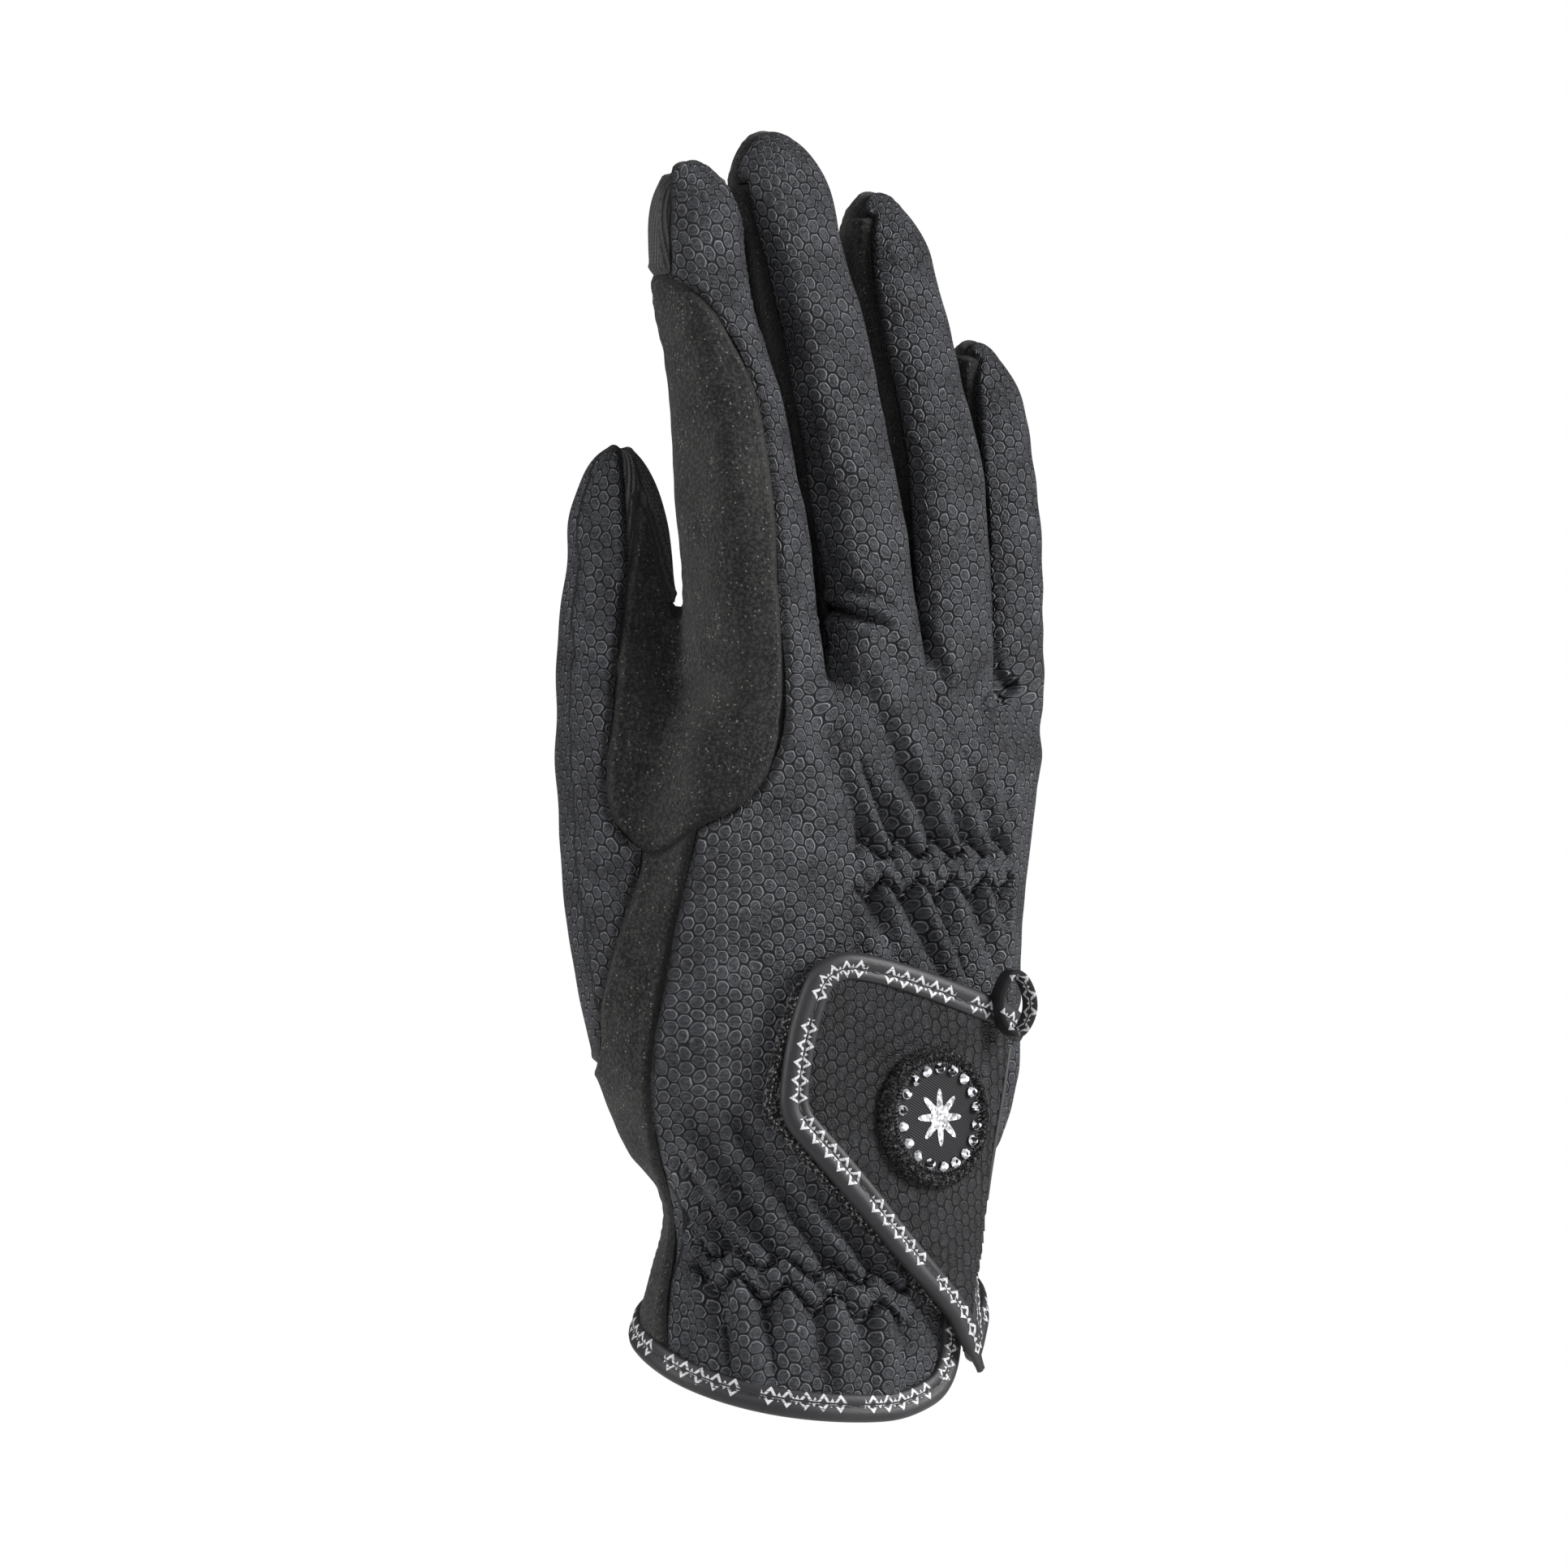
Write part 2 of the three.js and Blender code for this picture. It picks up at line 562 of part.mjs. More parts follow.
const palmOuter = palmSkin(0);
const fingersOuter = joined(fingers.map((body) => outerOf(body, 12)));
const thumbOuter = outerOf(thumb, 16);
const hollow = joined([hollowOf(palm, 14), ...fingers.map((body) => hollowOf(body, 8)), hollowOf(thumb, 8)]);

// The vent beside the tab, and the tape that binds it and the hem.
const ventPlaces = (side) => ventTable.map((row) => placeOn(palm, row[side], row.up * palmHeight));
const ventOutline = flowing([...ventPlaces("left"), ...ventPlaces("right").reverse()], 26);
const vent = prism(ventOutline, farOff, 0);
const tapeZone = (gap) =>
  aboveHem(-palmWidth)
    .subtract(aboveHem(tapeWidth + gap))
    .add(prism(offsetOutline(ventOutline, tapeWidth * 0.9 + gap), farOff, 0));
const tapeSkin = (grow, sides) =>
  solid(skin(palm, { grow, heights: heightsOf(palm, grow, 1, () => 14), angles: turnOf(sides) }));
const tapeForm = tapeSkin(tapeThick, 24).subtract(tapeSkin(-wall - tapeThick, 14));
const openingBinding = largest(tapeForm.intersect(tapeZone(0)).intersect(aboveHem(0)).subtract(vent));

// The sheet that parts the back from the palm, through the middle of each finger.
function fingerSheet(x, z) {
  const places = fingers.map((body) => {
    const height = Math.min(z, body.top);
    return { x: along(body.rows, "x", height), y: along(body.rows, "y", height) };
  });
  if (x <= places[0].x) return places[0].y;
  const next = places.findIndex((place) => x <= place.x);
  if (next < 0) return places[3].y;
  const before = places[next - 1];
  return THREE.MathUtils.mapLinear(x, before.x, places[next].x, before.y, places[next].y);
}
function parting(x, z) {
  const overFingers = fingerSheet(x, Math.max(z, palmHeight));
  const thumbSide = smooth(0.2 * palmWidth, 0.36 * palmWidth, -x);
  const overPalm = along(palm.rows, "y", z) + 0.3 * palmDepth * thumbSide;
  return THREE.MathUtils.lerp(overPalm, overFingers, smooth(0.68 * palmHeight, palmHeight, z));
}

// Gussets between two fingers, down one, round the corner and up the other.
function forkZone(i, crotch, gap) {
  const middleOf = (k) => (_, z) => along(fingers[k].rows, "x", Math.min(z, fingers[k].top));
  const ends = [fingers[i], fingers[i + 1]].map((body) => body.top - forkEndBelowTip + gap);
  return between(
    (x, z) => fingerSheet(x, z) - forkBackShare * forkWidth - gap,
    (x, z) => fingerSheet(x, z) + (1 - forkBackShare) * forkWidth + gap,
    {
      xLow: middleOf(i),
      xHigh: middleOf(i + 1),
      zLow: crotch - forkFootDrop - gap,
      zHigh: (share) => THREE.MathUtils.lerp(ends[0], ends[1], share),
      cellsX: 2,
      cellsZ: 6,
    },
  );
}
const crotches = [crotchIndexMiddle, crotchMiddleRing, crotchRingLittle];
const forkCuts = joined(crotches.map((crotch, i) => forkZone(i, crotch, seam)));

// Panels on the thumb's side of the hand.
const indexSideOutline = flowing(
  [...placesOn(index, indexSideOnFinger), ...placesOn(palm, indexSideOnPalm), placeOn(index, -1.8, palmHeight * 1.3)],
  30,
);
const gussetPlaces = (side) => gussetTable.map((row) => placeOn(palm, row[side], row.up * palmHeight));
const gussetOutline = flowing([...gussetPlaces("right"), ...gussetPlaces("left").reverse()], 26);
const sideHeight = index.foot + 0.35 * index.length;
const indexMiddle = new THREE.Vector3(along(index.rows, "x", sideHeight), along(index.rows, "y", sideHeight), 0);
const indexSideBack = 0.2 * indexDepth - indexMiddle.dot(toward);
const gussetBack = -0.13 * palmDepth;
const tipMeshLow = index.foot + tipMeshUp * index.length;
const tipMeshEdge = placeOn(index, tipMeshShare, tipMeshLow)[0];
const thumbMeshLow = thumb.foot + thumbMeshUp * thumb.length;

const indexSideZone = (gap) =>
  prism(offsetOutline(indexSideOutline, gap)).intersect(frontOf(indexSideBack + gap));
const gussetZone = (gap) => prism(offsetOutline(gussetOutline, gap)).intersect(frontOf(gussetBack + gap));
const tipMeshZone = (gap) => slab(-farOff, tipMeshEdge + gap, tipMeshLow - gap, 2 * farOff);

// On the back of the hand, the middle line of the gusset parts the thumb from the rest.
const gussetMiddle = gussetTable.map((row) => placeOn(palm, (row.left + row.right) / 2, row.up * palmHeight));
const besideThumb = prism([...gussetMiddle, [farOff, -farOff], [farOff, farOff]]).intersect(frontOf(gussetBack));

// The panels of the hand part and the fingers.
const handOuter = palmOuter.add(fingersOuter);
const handWall = handOuter.add(thumbOuter.intersect(besideThumb)).subtract(hollow);
const panelWall = handWall.intersect(aboveHem(0)).subtract(tapeZone(seam)).subtract(vent);
const fingerWall = panelWall.subtract(indexSideZone(seam)).subtract(tipMeshZone(seam));
const rest = fingerWall.subtract(gussetZone(seam)).subtract(forkCuts);
const backSide = (gap) => between(-farOff, (x, z) => parting(x, z) + gap);
const backPanel = largest(rest.intersect(backSide(0)));
const palmPanel = largest(rest.subtract(backSide(seam)));
const tipMesh = largest(panelWall.intersect(tipMeshZone(0)));
const indexSidePanel = largest(panelWall.subtract(tipMeshZone(seam)).intersect(indexSideZone(0)));
const forks = crotches.map((crotch, i) => largest(fingerWall.intersect(forkZone(i, crotch, 0))));

// The gusset lies over the hand part and the root of the thumb.
const gussetWall = palmOuter.add(thumbOuter).subtract(hollow).intersect(aboveHem(0)).subtract(tapeZone(seam));
const gussetPanel = largest(gussetWall.subtract(indexSideZone(seam)).intersect(gussetZone(0)));

// The thumb's pieces: leather outside, suede inside, and a mesh patch on the inside of its tip.
const thumbWall = thumbOuter
  .subtract(palmSkin(seam))
  .subtract(fingersOuter)
  .subtract(hollow)
  .subtract(indexSideZone(seam))
  .subtract(gussetZone(seam))
  .subtract(besideThumb);
const thumbInsideOutline = placesOn(thumb, thumbInsideTable);
const thumbInside = thumbWall.intersect(prism(thumbInsideOutline));
const thumbOutside = largest(thumbWall.subtract(prism(offsetOutline(thumbInsideOutline, seam))));
const thumbMesh = largest(thumbInside.intersect(aboveUp(thumbMeshLow)));
const thumbInner = largest(thumbInside.subtract(aboveUp(thumbMeshLow - seam)));

// Layers that lie on the leather round the wrist, each between two heights above it.
const layerHeights = Array.from({ length: 9 }, (_, j) => tabFoot - 6 + ((tabHeight + 12) * j) / 8);
const formAt = (grow) => solid(skin(palm, { grow, heights: layerHeights, angles: turnOf(36) }));
const layer = (low, high) => formAt(high).subtract(formAt(low));
const padLow = seam;
const tabLow = padLow + padThick + seam;
const tabHigh = tabLow + tabThick;
const badgeLow = tabHigh + seam;
const discHigh = badgeLow + discThick;

// The tab, its binding and the pad of loop tape under it.
const tabSewnUp = tabFoot + tabTable[0].up * tabHeight;
const tabSewn = placeOn(palm, tabSewnShare, tabSewnUp)[0];
const tabPlace = (row) => [tabSewn + row.across * tabWidth, tabFoot + row.up * tabHeight, tabCorner * row.round];
const tabOutline = rounded([...tabTable, ...tabTailTable, ...tabSideTable].map(tabPlace));

// The tab inside its binding. Its sewn side has no binding, so there the outline runs out past it.
const tabLeatherCorners = [...tabTable, tabFootCorner].map(tabPlace);
function runOn(corners, from, to, distance) {
  const [x, y] = corners[to];
  const step = new THREE.Vector2(x - corners[from][0], y - corners[from][1]).setLength(distance);
  return [x + step.x, y + step.y, 0];
}
function tabInside(inset) {
  const inner = offsetOutline(tabLeatherCorners, -inset);
  const corners = inner.map(([x, y], i) => [x, y, 0.6 * tabLeatherCorners[i][2]]);
  const sewnEnd = runOn(inner, 1, 0, 3 * tapeWidth);
  const footEnd = runOn(inner, 3, 4, tapeWidth);
  return prism(rounded([sewnEnd, ...corners.slice(1, 4), footEnd, [sewnEnd[0], footEnd[1], 0]]));
}
const tabFront = frontOf(0.1 * palmDepth);
const tabWhole = prism(tabOutline).intersect(tabFront);
const closureTab = largest(layer(tabLow, tabHigh).intersect(tabWhole).intersect(tabInside(tapeWidth + seam)));
const tabBinding = largest(
  layer(tabLow, tabHigh + tapeThick).intersect(tabWhole.subtract(tabInside(tapeWidth))),
);
const padOutline = tabOutline.map(([x, y]) => [x - padShow, y - 0.5 * padShow]);
const padZone = prism(padOutline).intersect(slab(-farOff, tabSewn - padRightShare * tabWidth, -farOff, farOff));
const padForm = layer(padLow, padLow + padThick).intersect(padZone).intersect(frontOf(0));
const loopPad = largest(padForm.subtract(palmSkin(0.7 * seam)));

// The point where a ray meets the leather of the hand part, grown by `grow`, and its normal.
function surfacePoint(start, direction, grow) {
  let outside = 0;
  let inside = 80;
  for (let i = 0; i < 40; i += 1) {
    const half = (outside + inside) / 2;
    if (depthIn(palm, start.clone().addScaledVector(direction, half), grow) > 1) outside = half;
    else inside = half;
  }
  return start.clone().addScaledVector(direction, outside);
}
function normalAt(point, grow) {
  const slope = (axis) => {
    const ahead = point.clone().addScaledVector(axis, 0.2);
    const behind = point.clone().addScaledVector(axis, -0.2);
    return depthIn(palm, ahead, grow) - depthIn(palm, behind, grow);
  };
  const axes = [new THREE.Vector3(1, 0, 0), new THREE.Vector3(0, 1, 0), up];
  return new THREE.Vector3(...axes.map(slope)).normalize();
}
const onDrawing = (acrossAt, upAt, towardAt) =>
  new THREE.Vector3().addScaledVector(across, acrossAt).addScaledVector(toward, towardAt).setZ(upAt);
const inward = toward.clone().negate();

// The badge is square to the leather under its middle.
const [badgeAcross, badgeUp] = tabPlace({ across: badgeTabAcross, up: badgeTabUp, round: 0 });
const badgeCentre = surfacePoint(onDrawing(badgeAcross, badgeUp, 70), inward, tabHigh);
const badgeNormal = normalAt(badgeCentre, tabHigh);
function badgeCylinder(radius) {
  const cylinder = new THREE.CylinderGeometry(radius, radius, 2 * badgeDiameter, 20);
  cylinder.rotateX(Math.PI / 2);
  cylinder.applyQuaternion(new THREE.Quaternion().setFromUnitVectors(up, badgeNormal));
  cylinder.translate(badgeCentre.x, badgeCentre.y, badgeCentre.z);
  return solid(cylinder);
}
const badgeRadius = badgeDiameter / 2;
const rimForm = badgeCylinder(badgeRadius).subtract(badgeCylinder(badgeRadius - badgeRimWidth));
const badgeRim = largest(layer(badgeLow, badgeLow + badgeRimThick).intersect(rimForm));
const discForm = badgeCylinder(badgeRadius - badgeRimWidth - seam);
const badgeDisc = largest(layer(badgeLow, discHigh).intersect(discForm));

// A flat-backed cut stone: a table and eight crown facets.
function stoneGeometry() {
  const radius = stoneDiameter / 2;
  const profile = [[0, 0], [radius, 0], [0.5 * radius, stoneHeight], [0, stoneHeight]];
  const cut = new THREE.LatheGeometry(profile.map(([r, h]) => new THREE.Vector2(r, h)), 8);
  cut.rotateX(Math.PI / 2);
  return solid(cut);
}

// The pull: a drop-shaped loop of tape that stands beside the tab's sewn corner.
function pullGeometry() {
  const drop = (inset) => {
    const half = pullWidth / 2 - inset;
    const top = pullHeight - inset;
    const low = 1.6 * inset;
    return flowing([[0.35 * half, low], [half, 0.45 * pullHeight], [0.1 * half, top], [-half, 0.5 * pullHeight]], 16);
  };
  const shape = new THREE.Shape(drop(0).map(([x, y]) => new THREE.Vector2(x, y)));
  shape.holes.push(new THREE.Path(drop(pullThick).map(([x, y]) => new THREE.Vector2(x, y))));
  const loop = new THREE.ExtrudeGeometry(shape, { depth: pullDepth, bevelEnabled: false });
  loop.applyMatrix4(new THREE.Matrix4().makeBasis(across, up, toward));
  return loop;
}

// The pull's foot sits just outside the binding, level with the sewn corner.
const pullUp = tabSewnUp - 0.3 * pullHeight;
const pullAcross = placeOn(palm, 1, pullUp)[0] - 0.1 * pullWidth;
const pullSide = onDrawing(pullAcross - 0.5 * pullWidth, pullUp + 0.5 * pullHeight, 70);
const pullSeat = surfacePoint(pullSide, inward, tabHigh + tapeThick + seam);
const pullPlace = onDrawing(pullAcross, pullUp, pullSeat.dot(toward));

const leather = { color: 0x2b2c2f, roughness: 0.55 };
const suede = { color: 0x1c1a19, roughness: 0.95 };
const knit = { color: 0x242427, roughness: 0.85 };
const tape = { color: 0x2a2a2c, roughness: 0.6 };
const pile = { color: 0x0c0c0d, roughness: 1 };
const satin = { color: 0x2e2c2b, roughness: 0.5 };
const crystal = { color: 0xe8e8ea, roughness: 0.08, metalness: 0.9 };

const glove = new THREE.Group();
function addPiece(name, made, finish) {
  const geometry = made.isBufferGeometry ? made : geometryOf(made);
  const mesh = new THREE.Mesh(geometry, new THREE.MeshStandardMaterial(finish));
  mesh.name = name;
  glove.add(mesh);
  return mesh;
}

addPiece("back_panel", backPanel, leather);
addPiece("palm_panel", palmPanel, suede);
addPiece("index_side_panel", indexSidePanel, suede);
addPiece("index_tip_mesh", tipMesh, knit);
addPiece("wrist_gusset", gussetPanel, suede);
addPiece("thumb_outer", thumbOutside, leather);
addPiece("thumb_inner", thumbInner, suede);
addPiece("thumb_tip_mesh", thumbMesh, knit);
addPiece("fork_index_middle", forks[0], suede);
addPiece("fork_middle_ring", forks[1], suede);
addPiece("fork_ring_little", forks[2], suede);
addPiece("opening_binding", openingBinding, tape);
addPiece("loop_pad", loopPad, pile);
addPiece("closure_tab", closureTab, leather);
addPiece("tab_binding", tabBinding, tape);
addPiece("pull_loop", pullGeometry(), tape).position.copy(pullPlace);
addPiece("badge_rim", badgeRim, pile);
addPiece("badge_disc", badgeDisc, satin);

const badgeSide = new THREE.Vector3().crossVectors(up, badgeNormal).normalize();
const badgeTop = new THREE.Vector3().crossVectors(badgeNormal, badgeSide);
for (let i = 0; i < stoneCount; i += 1) {
  const angle = (2 * Math.PI * i) / stoneCount;
  const start = badgeCentre
    .clone()
    .addScaledVector(badgeSide, (stoneRingDiameter / 2) * Math.sin(angle))
    .addScaledVector(badgeTop, (stoneRingDiameter / 2) * Math.cos(angle))
    .addScaledVector(badgeNormal, badgeDiameter / 2);
  const seat = surfacePoint(start, badgeNormal.clone().negate(), discHigh + seam);
  const stone = addPiece("stone_" + String(i + 1).padStart(2, "0"), stoneGeometry(), crystal);
  stone.position.copy(seat);
  stone.quaternion.setFromUnitVectors(up, normalAt(seat, discHigh + seam));
}

export default glove;
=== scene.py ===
"""A right-hand riding glove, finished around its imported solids.

The fingers point up along +Z, the back of the hand looks to -Y and the thumb is on the -X side.
The sections follow the glove as it is sewn: the leather and suede panels, their seams and stitches,
the tape on the hem, then the closure tab with its pad, tape, pull, badge and stones.
"""
import math

import bpy
import numpy as np
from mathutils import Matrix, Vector, kdtree


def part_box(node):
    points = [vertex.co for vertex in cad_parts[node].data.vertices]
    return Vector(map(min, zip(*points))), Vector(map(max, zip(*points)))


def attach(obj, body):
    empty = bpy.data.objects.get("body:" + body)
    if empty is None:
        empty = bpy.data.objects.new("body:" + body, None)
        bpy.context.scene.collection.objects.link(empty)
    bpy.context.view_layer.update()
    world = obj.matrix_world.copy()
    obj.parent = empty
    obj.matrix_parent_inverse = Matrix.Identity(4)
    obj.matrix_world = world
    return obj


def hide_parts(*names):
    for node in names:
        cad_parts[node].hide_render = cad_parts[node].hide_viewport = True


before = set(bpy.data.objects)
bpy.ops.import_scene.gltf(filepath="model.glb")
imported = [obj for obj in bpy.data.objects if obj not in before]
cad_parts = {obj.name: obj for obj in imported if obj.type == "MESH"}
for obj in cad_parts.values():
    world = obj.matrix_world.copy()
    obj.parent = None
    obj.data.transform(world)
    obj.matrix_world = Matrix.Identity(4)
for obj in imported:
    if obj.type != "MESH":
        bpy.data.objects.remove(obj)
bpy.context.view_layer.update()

mm = 0.001

# Form of the glove. The real glove takes this form from the hand in it: one tube for the hand part,
# four for the fingers and one for the thumb, which run into each other without an edge.
palm_height = 118 * mm
palm_width = 77 * mm
palm_depth = 30 * mm
index_depth = 21.4 * mm
palm_dome = 15 * mm
finger_dome = 13 * mm
thumb_dome = 16 * mm
thumb_root = 34 * mm
finger_to_palm = 6.5 * mm
finger_to_finger = 0.8 * mm
thumb_to_hand = 7 * mm

# Sections as shares of each tube's sizes: up, x, y, wide, deep, square (2 is an ellipse).
palm_sections = [
    (-0.24, 0.0, 0.0, 0.88, 1.72, 2.2),
    (0.0, -0.005, 0.0, 0.86, 1.633, 2.2),
    (0.085, 0.01, 0.0, 0.82, 1.55, 2.2),
    (0.178, 0.034, 0.0, 0.776, 1.48, 2.2),
    (0.229, 0.034, -0.007, 0.83, 1.45, 2.2),
    (0.297, 0.024, -0.013, 0.945, 1.4, 2.2),
    (0.424, 0.045, -0.033, 0.99, 1.3, 2.3),
    (0.593, 0.05, -0.077, 0.99, 1.17, 2.3),
    (0.763, 0.066, -0.133, 0.99, 1.05, 2.4),
    (0.89, 0.078, -0.19, 0.985, 0.9, 2.5),
    (1.0, 0.085, -0.215, 0.96, 0.82, 2.6),
]
index_sections = [
    (-0.26, 0.02, 0.14, 0.72, 0.7, 2.6),
    (-0.05, 0.05, 0.03, 1.07, 1.0, 2.7),
    (0.12, 0.0, 0.0, 1.04, 1.06, 2.9),
    (0.37, -0.11, 0.07, 0.95, 0.98, 3.0),
    (0.52, -0.15, 0.165, 0.88, 0.9, 2.9),
    (0.61, -0.21, 0.235, 0.82, 0.84, 2.8),
    (0.7, -0.28, 0.33, 0.79, 0.8, 2.7),
    (0.85, -0.27, 0.49, 0.75, 0.75, 2.5),
    (1.0, -0.18, 0.68, 0.72, 0.7, 2.3),
]
middle_sections = [
    (-0.25, 0.03, 0.12, 0.72, 0.7, 2.6),
    (-0.05, 0.06, 0.02, 1.1, 1.0, 2.7),
    (0.12, 0.0, 0.0, 1.0, 1.03, 2.9),
    (0.385, -0.19, 0.07, 0.95, 0.97, 2.9),
    (0.57, -0.29, 0.22, 0.93, 0.94, 2.8),
    (0.79, -0.42, 0.48, 0.91, 0.9, 2.7),
    (0.92, -0.42, 0.68, 0.88, 0.84, 2.5),
    (1.0, -0.38, 0.82, 0.84, 0.78, 2.3),
]
ring_sections = [
    (-0.25, 0.0, 0.12, 0.72, 0.7, 2.6),
    (-0.03, 0.0, 0.02, 1.06, 1.0, 2.7),
    (0.1, 0.0, 0.0, 1.0, 1.02, 2.9),
    (0.375, 0.0, 0.08, 0.965, 0.97, 2.9),
    (0.48, -0.035, 0.15, 0.95, 0.95, 2.8),
    (0.68, -0.125, 0.35, 0.92, 0.92, 2.7),
    (0.83, -0.15, 0.55, 0.88, 0.86, 2.5),
    (1.0, -0.08, 0.81, 0.8, 0.76, 2.3),
]
little_sections = [
    (-0.3, -0.04, 0.12, 0.75, 0.75, 2.6),
    (-0.08, -0.04, 0.02, 1.1, 1.03, 2.7),
    (0.12, 0.0, 0.0, 1.0, 1.02, 2.8),
    (0.33, 0.045, 0.03, 0.97, 0.98, 2.8),
    (0.47, 0.07, 0.09, 0.95, 0.95, 2.8),
    (0.62, 0.07, 0.175, 0.92, 0.92, 2.7),
    (0.77, 0.085, 0.29, 0.88, 0.88, 2.5),
    (1.0, 0.13, 0.5, 0.8, 0.8, 2.3),
]
thumb_sections = [
    (-0.06, 0.75, -0.6, 0.75, 0.7, 2.1),
    (0.0, 0.46, -0.53, 1.12, 1.0, 2.1),
    (0.08, 0.3, -0.46, 1.36, 1.24, 2.1),
    (0.2, 0.26, -0.36, 1.5, 1.4, 2.1),
    (0.33, 0.18, -0.2, 1.44, 1.36, 2.2),
    (0.46, 0.11, -0.07, 1.3, 1.24, 2.3),
    (0.6, 0.02, 0.0, 1.12, 1.1, 2.4),
    (0.73, -0.03, 0.03, 0.92, 0.94, 2.5),
    (0.84, 0.0, 0.06, 0.8, 0.84, 2.4),
    (0.93, 0.01, 0.09, 0.74, 0.76, 2.3),
    (1.0, 0.02, 0.11, 0.7, 0.7, 2.2),
]


class Tube:
    """A closed tube of stacked sections with a domed end."""

    def __init__(self, sections, foot, length, x, y, width, depth, dome):
        up, sx, sy, wide, deep, square = np.array(sections).T
        self.foot, self.length, self.dome = foot, length, dome
        self.low, self.top = foot + up[0] * length, foot + length
        knots = foot + up * length
        self.heights = np.arange(self.low, self.top + 1 * mm, 0.25 * mm)
        columns = (x + sx * width, y + sy * depth, wide * width / 2, deep * depth / 2, square)
        self.columns = [self.smooth_through(knots, column) for column in columns]

    def smooth_through(self, knots, values):
        last = len(knots) - 1
        before = np.maximum(np.arange(last + 1) - 1, 0)
        after = np.minimum(np.arange(last + 1) + 1, last)
        slope = (values[after] - values[before]) / (knots[after] - knots[before])
        i = np.clip(np.searchsorted(knots, self.heights, side="right") - 1, 0, last - 1)
        step = knots[i + 1] - knots[i]
        t = np.clip((self.heights - knots[i]) / step, 0, 1)
        ends = (1 + 2 * t) * (1 - t) ** 2 * values[i] + t * t * (3 - 2 * t) * values[i + 1]
        return ends + step * (t * (1 - t) ** 2 * slope[i] + t * t * (t - 1) * slope[i + 1])

    def section(self, z):
        """Middle x and y, half width, half depth and squareness at some heights."""
        return [np.interp(z, self.heights, column) for column in self.columns]

    def distance(self, points):
        """Distance to the tube's skin, along the ray from its middle. It is negative inside."""
        x, y, z = points.T
        mid_x, mid_y, half_x, half_y, square = self.section(z)
        over = np.maximum((z - (self.top - self.dome)) / self.dome, 0)
        dx, dy = x - mid_x, y - mid_y
        flat = (np.abs(dx / half_x) ** square + np.abs(dy / half_y) ** square) ** (1 / square)
        depth = np.maximum(np.hypot(flat, over), 1e-3)
        reach = np.sqrt(dx * dx + dy * dy + (self.dome * over) ** 2)
        return reach * (1 - 1 / depth) + np.maximum(self.low - z, 0)


def finger_tube(sections, length, x, y, width, depth):
    return Tube(sections, palm_height, length, x, y, width, depth, finger_dome)


palm = Tube(palm_sections, 0, palm_height, 0, 0, palm_width, palm_depth, palm_dome)
index = finger_tube(index_sections, 91 * mm, -17.6 * mm, -7 * mm, 19.6 * mm, index_depth)
middle = finger_tube(middle_sections, 97.6 * mm, 3.3 * mm, -9 * mm, 18.6 * mm, 20.6 * mm)
ring = finger_tube(ring_sections, 88 * mm, 22.1 * mm, -7 * mm, 17.8 * mm, 19.8 * mm)
little = finger_tube(little_sections, 61.5 * mm, 39 * mm, -2 * mm, 15.4 * mm, 17.2 * mm)
thumb = Tube(thumb_sections, thumb_root, 125 * mm, -31 * mm, 14 * mm, 21 * mm, 22 * mm, thumb_dome)
fingers = [index, middle, ring, little]


def soft_union(a, b, reach):
    near = np.maximum(reach - np.abs(a - b), 0) / reach
    return np.minimum(a, b) - near * near * reach / 4


def hand_distance(points):
    fingers_at = fingers[0].distance(points)
    for tube in fingers[1:]:
        fingers_at = soft_union(fingers_at, tube.distance(points), finger_to_finger)
    return soft_union(palm.distance(points), fingers_at, finger_to_palm)


def glove_distance(points):
    return soft_union(hand_distance(points), thumb.distance(points), thumb_to_hand)


def normals_of(points, distance):
    """Outward direction of a form at some points, and how fast its distance grows there."""
    step = 0.2 * mm
    slope = np.empty_like(points)
    for axis in range(3):
        ahead, behind = points.copy(), points.copy()
        ahead[:, axis] += step
        behind[:, axis] -= step
        slope[:, axis] = (distance(ahead) - distance(behind)) / (2 * step)
    size = np.maximum(np.linalg.norm(slope, axis=1), 0.2)
    return slope / size[:, None], size


def settle(points, distance, rounds=2):
    """Moves points straight onto the skin of a form."""
    for _ in range(rounds):
        normals, size = normals_of(points, distance)
        points = points - normals * (distance(points) / size)[:, None]
    return points


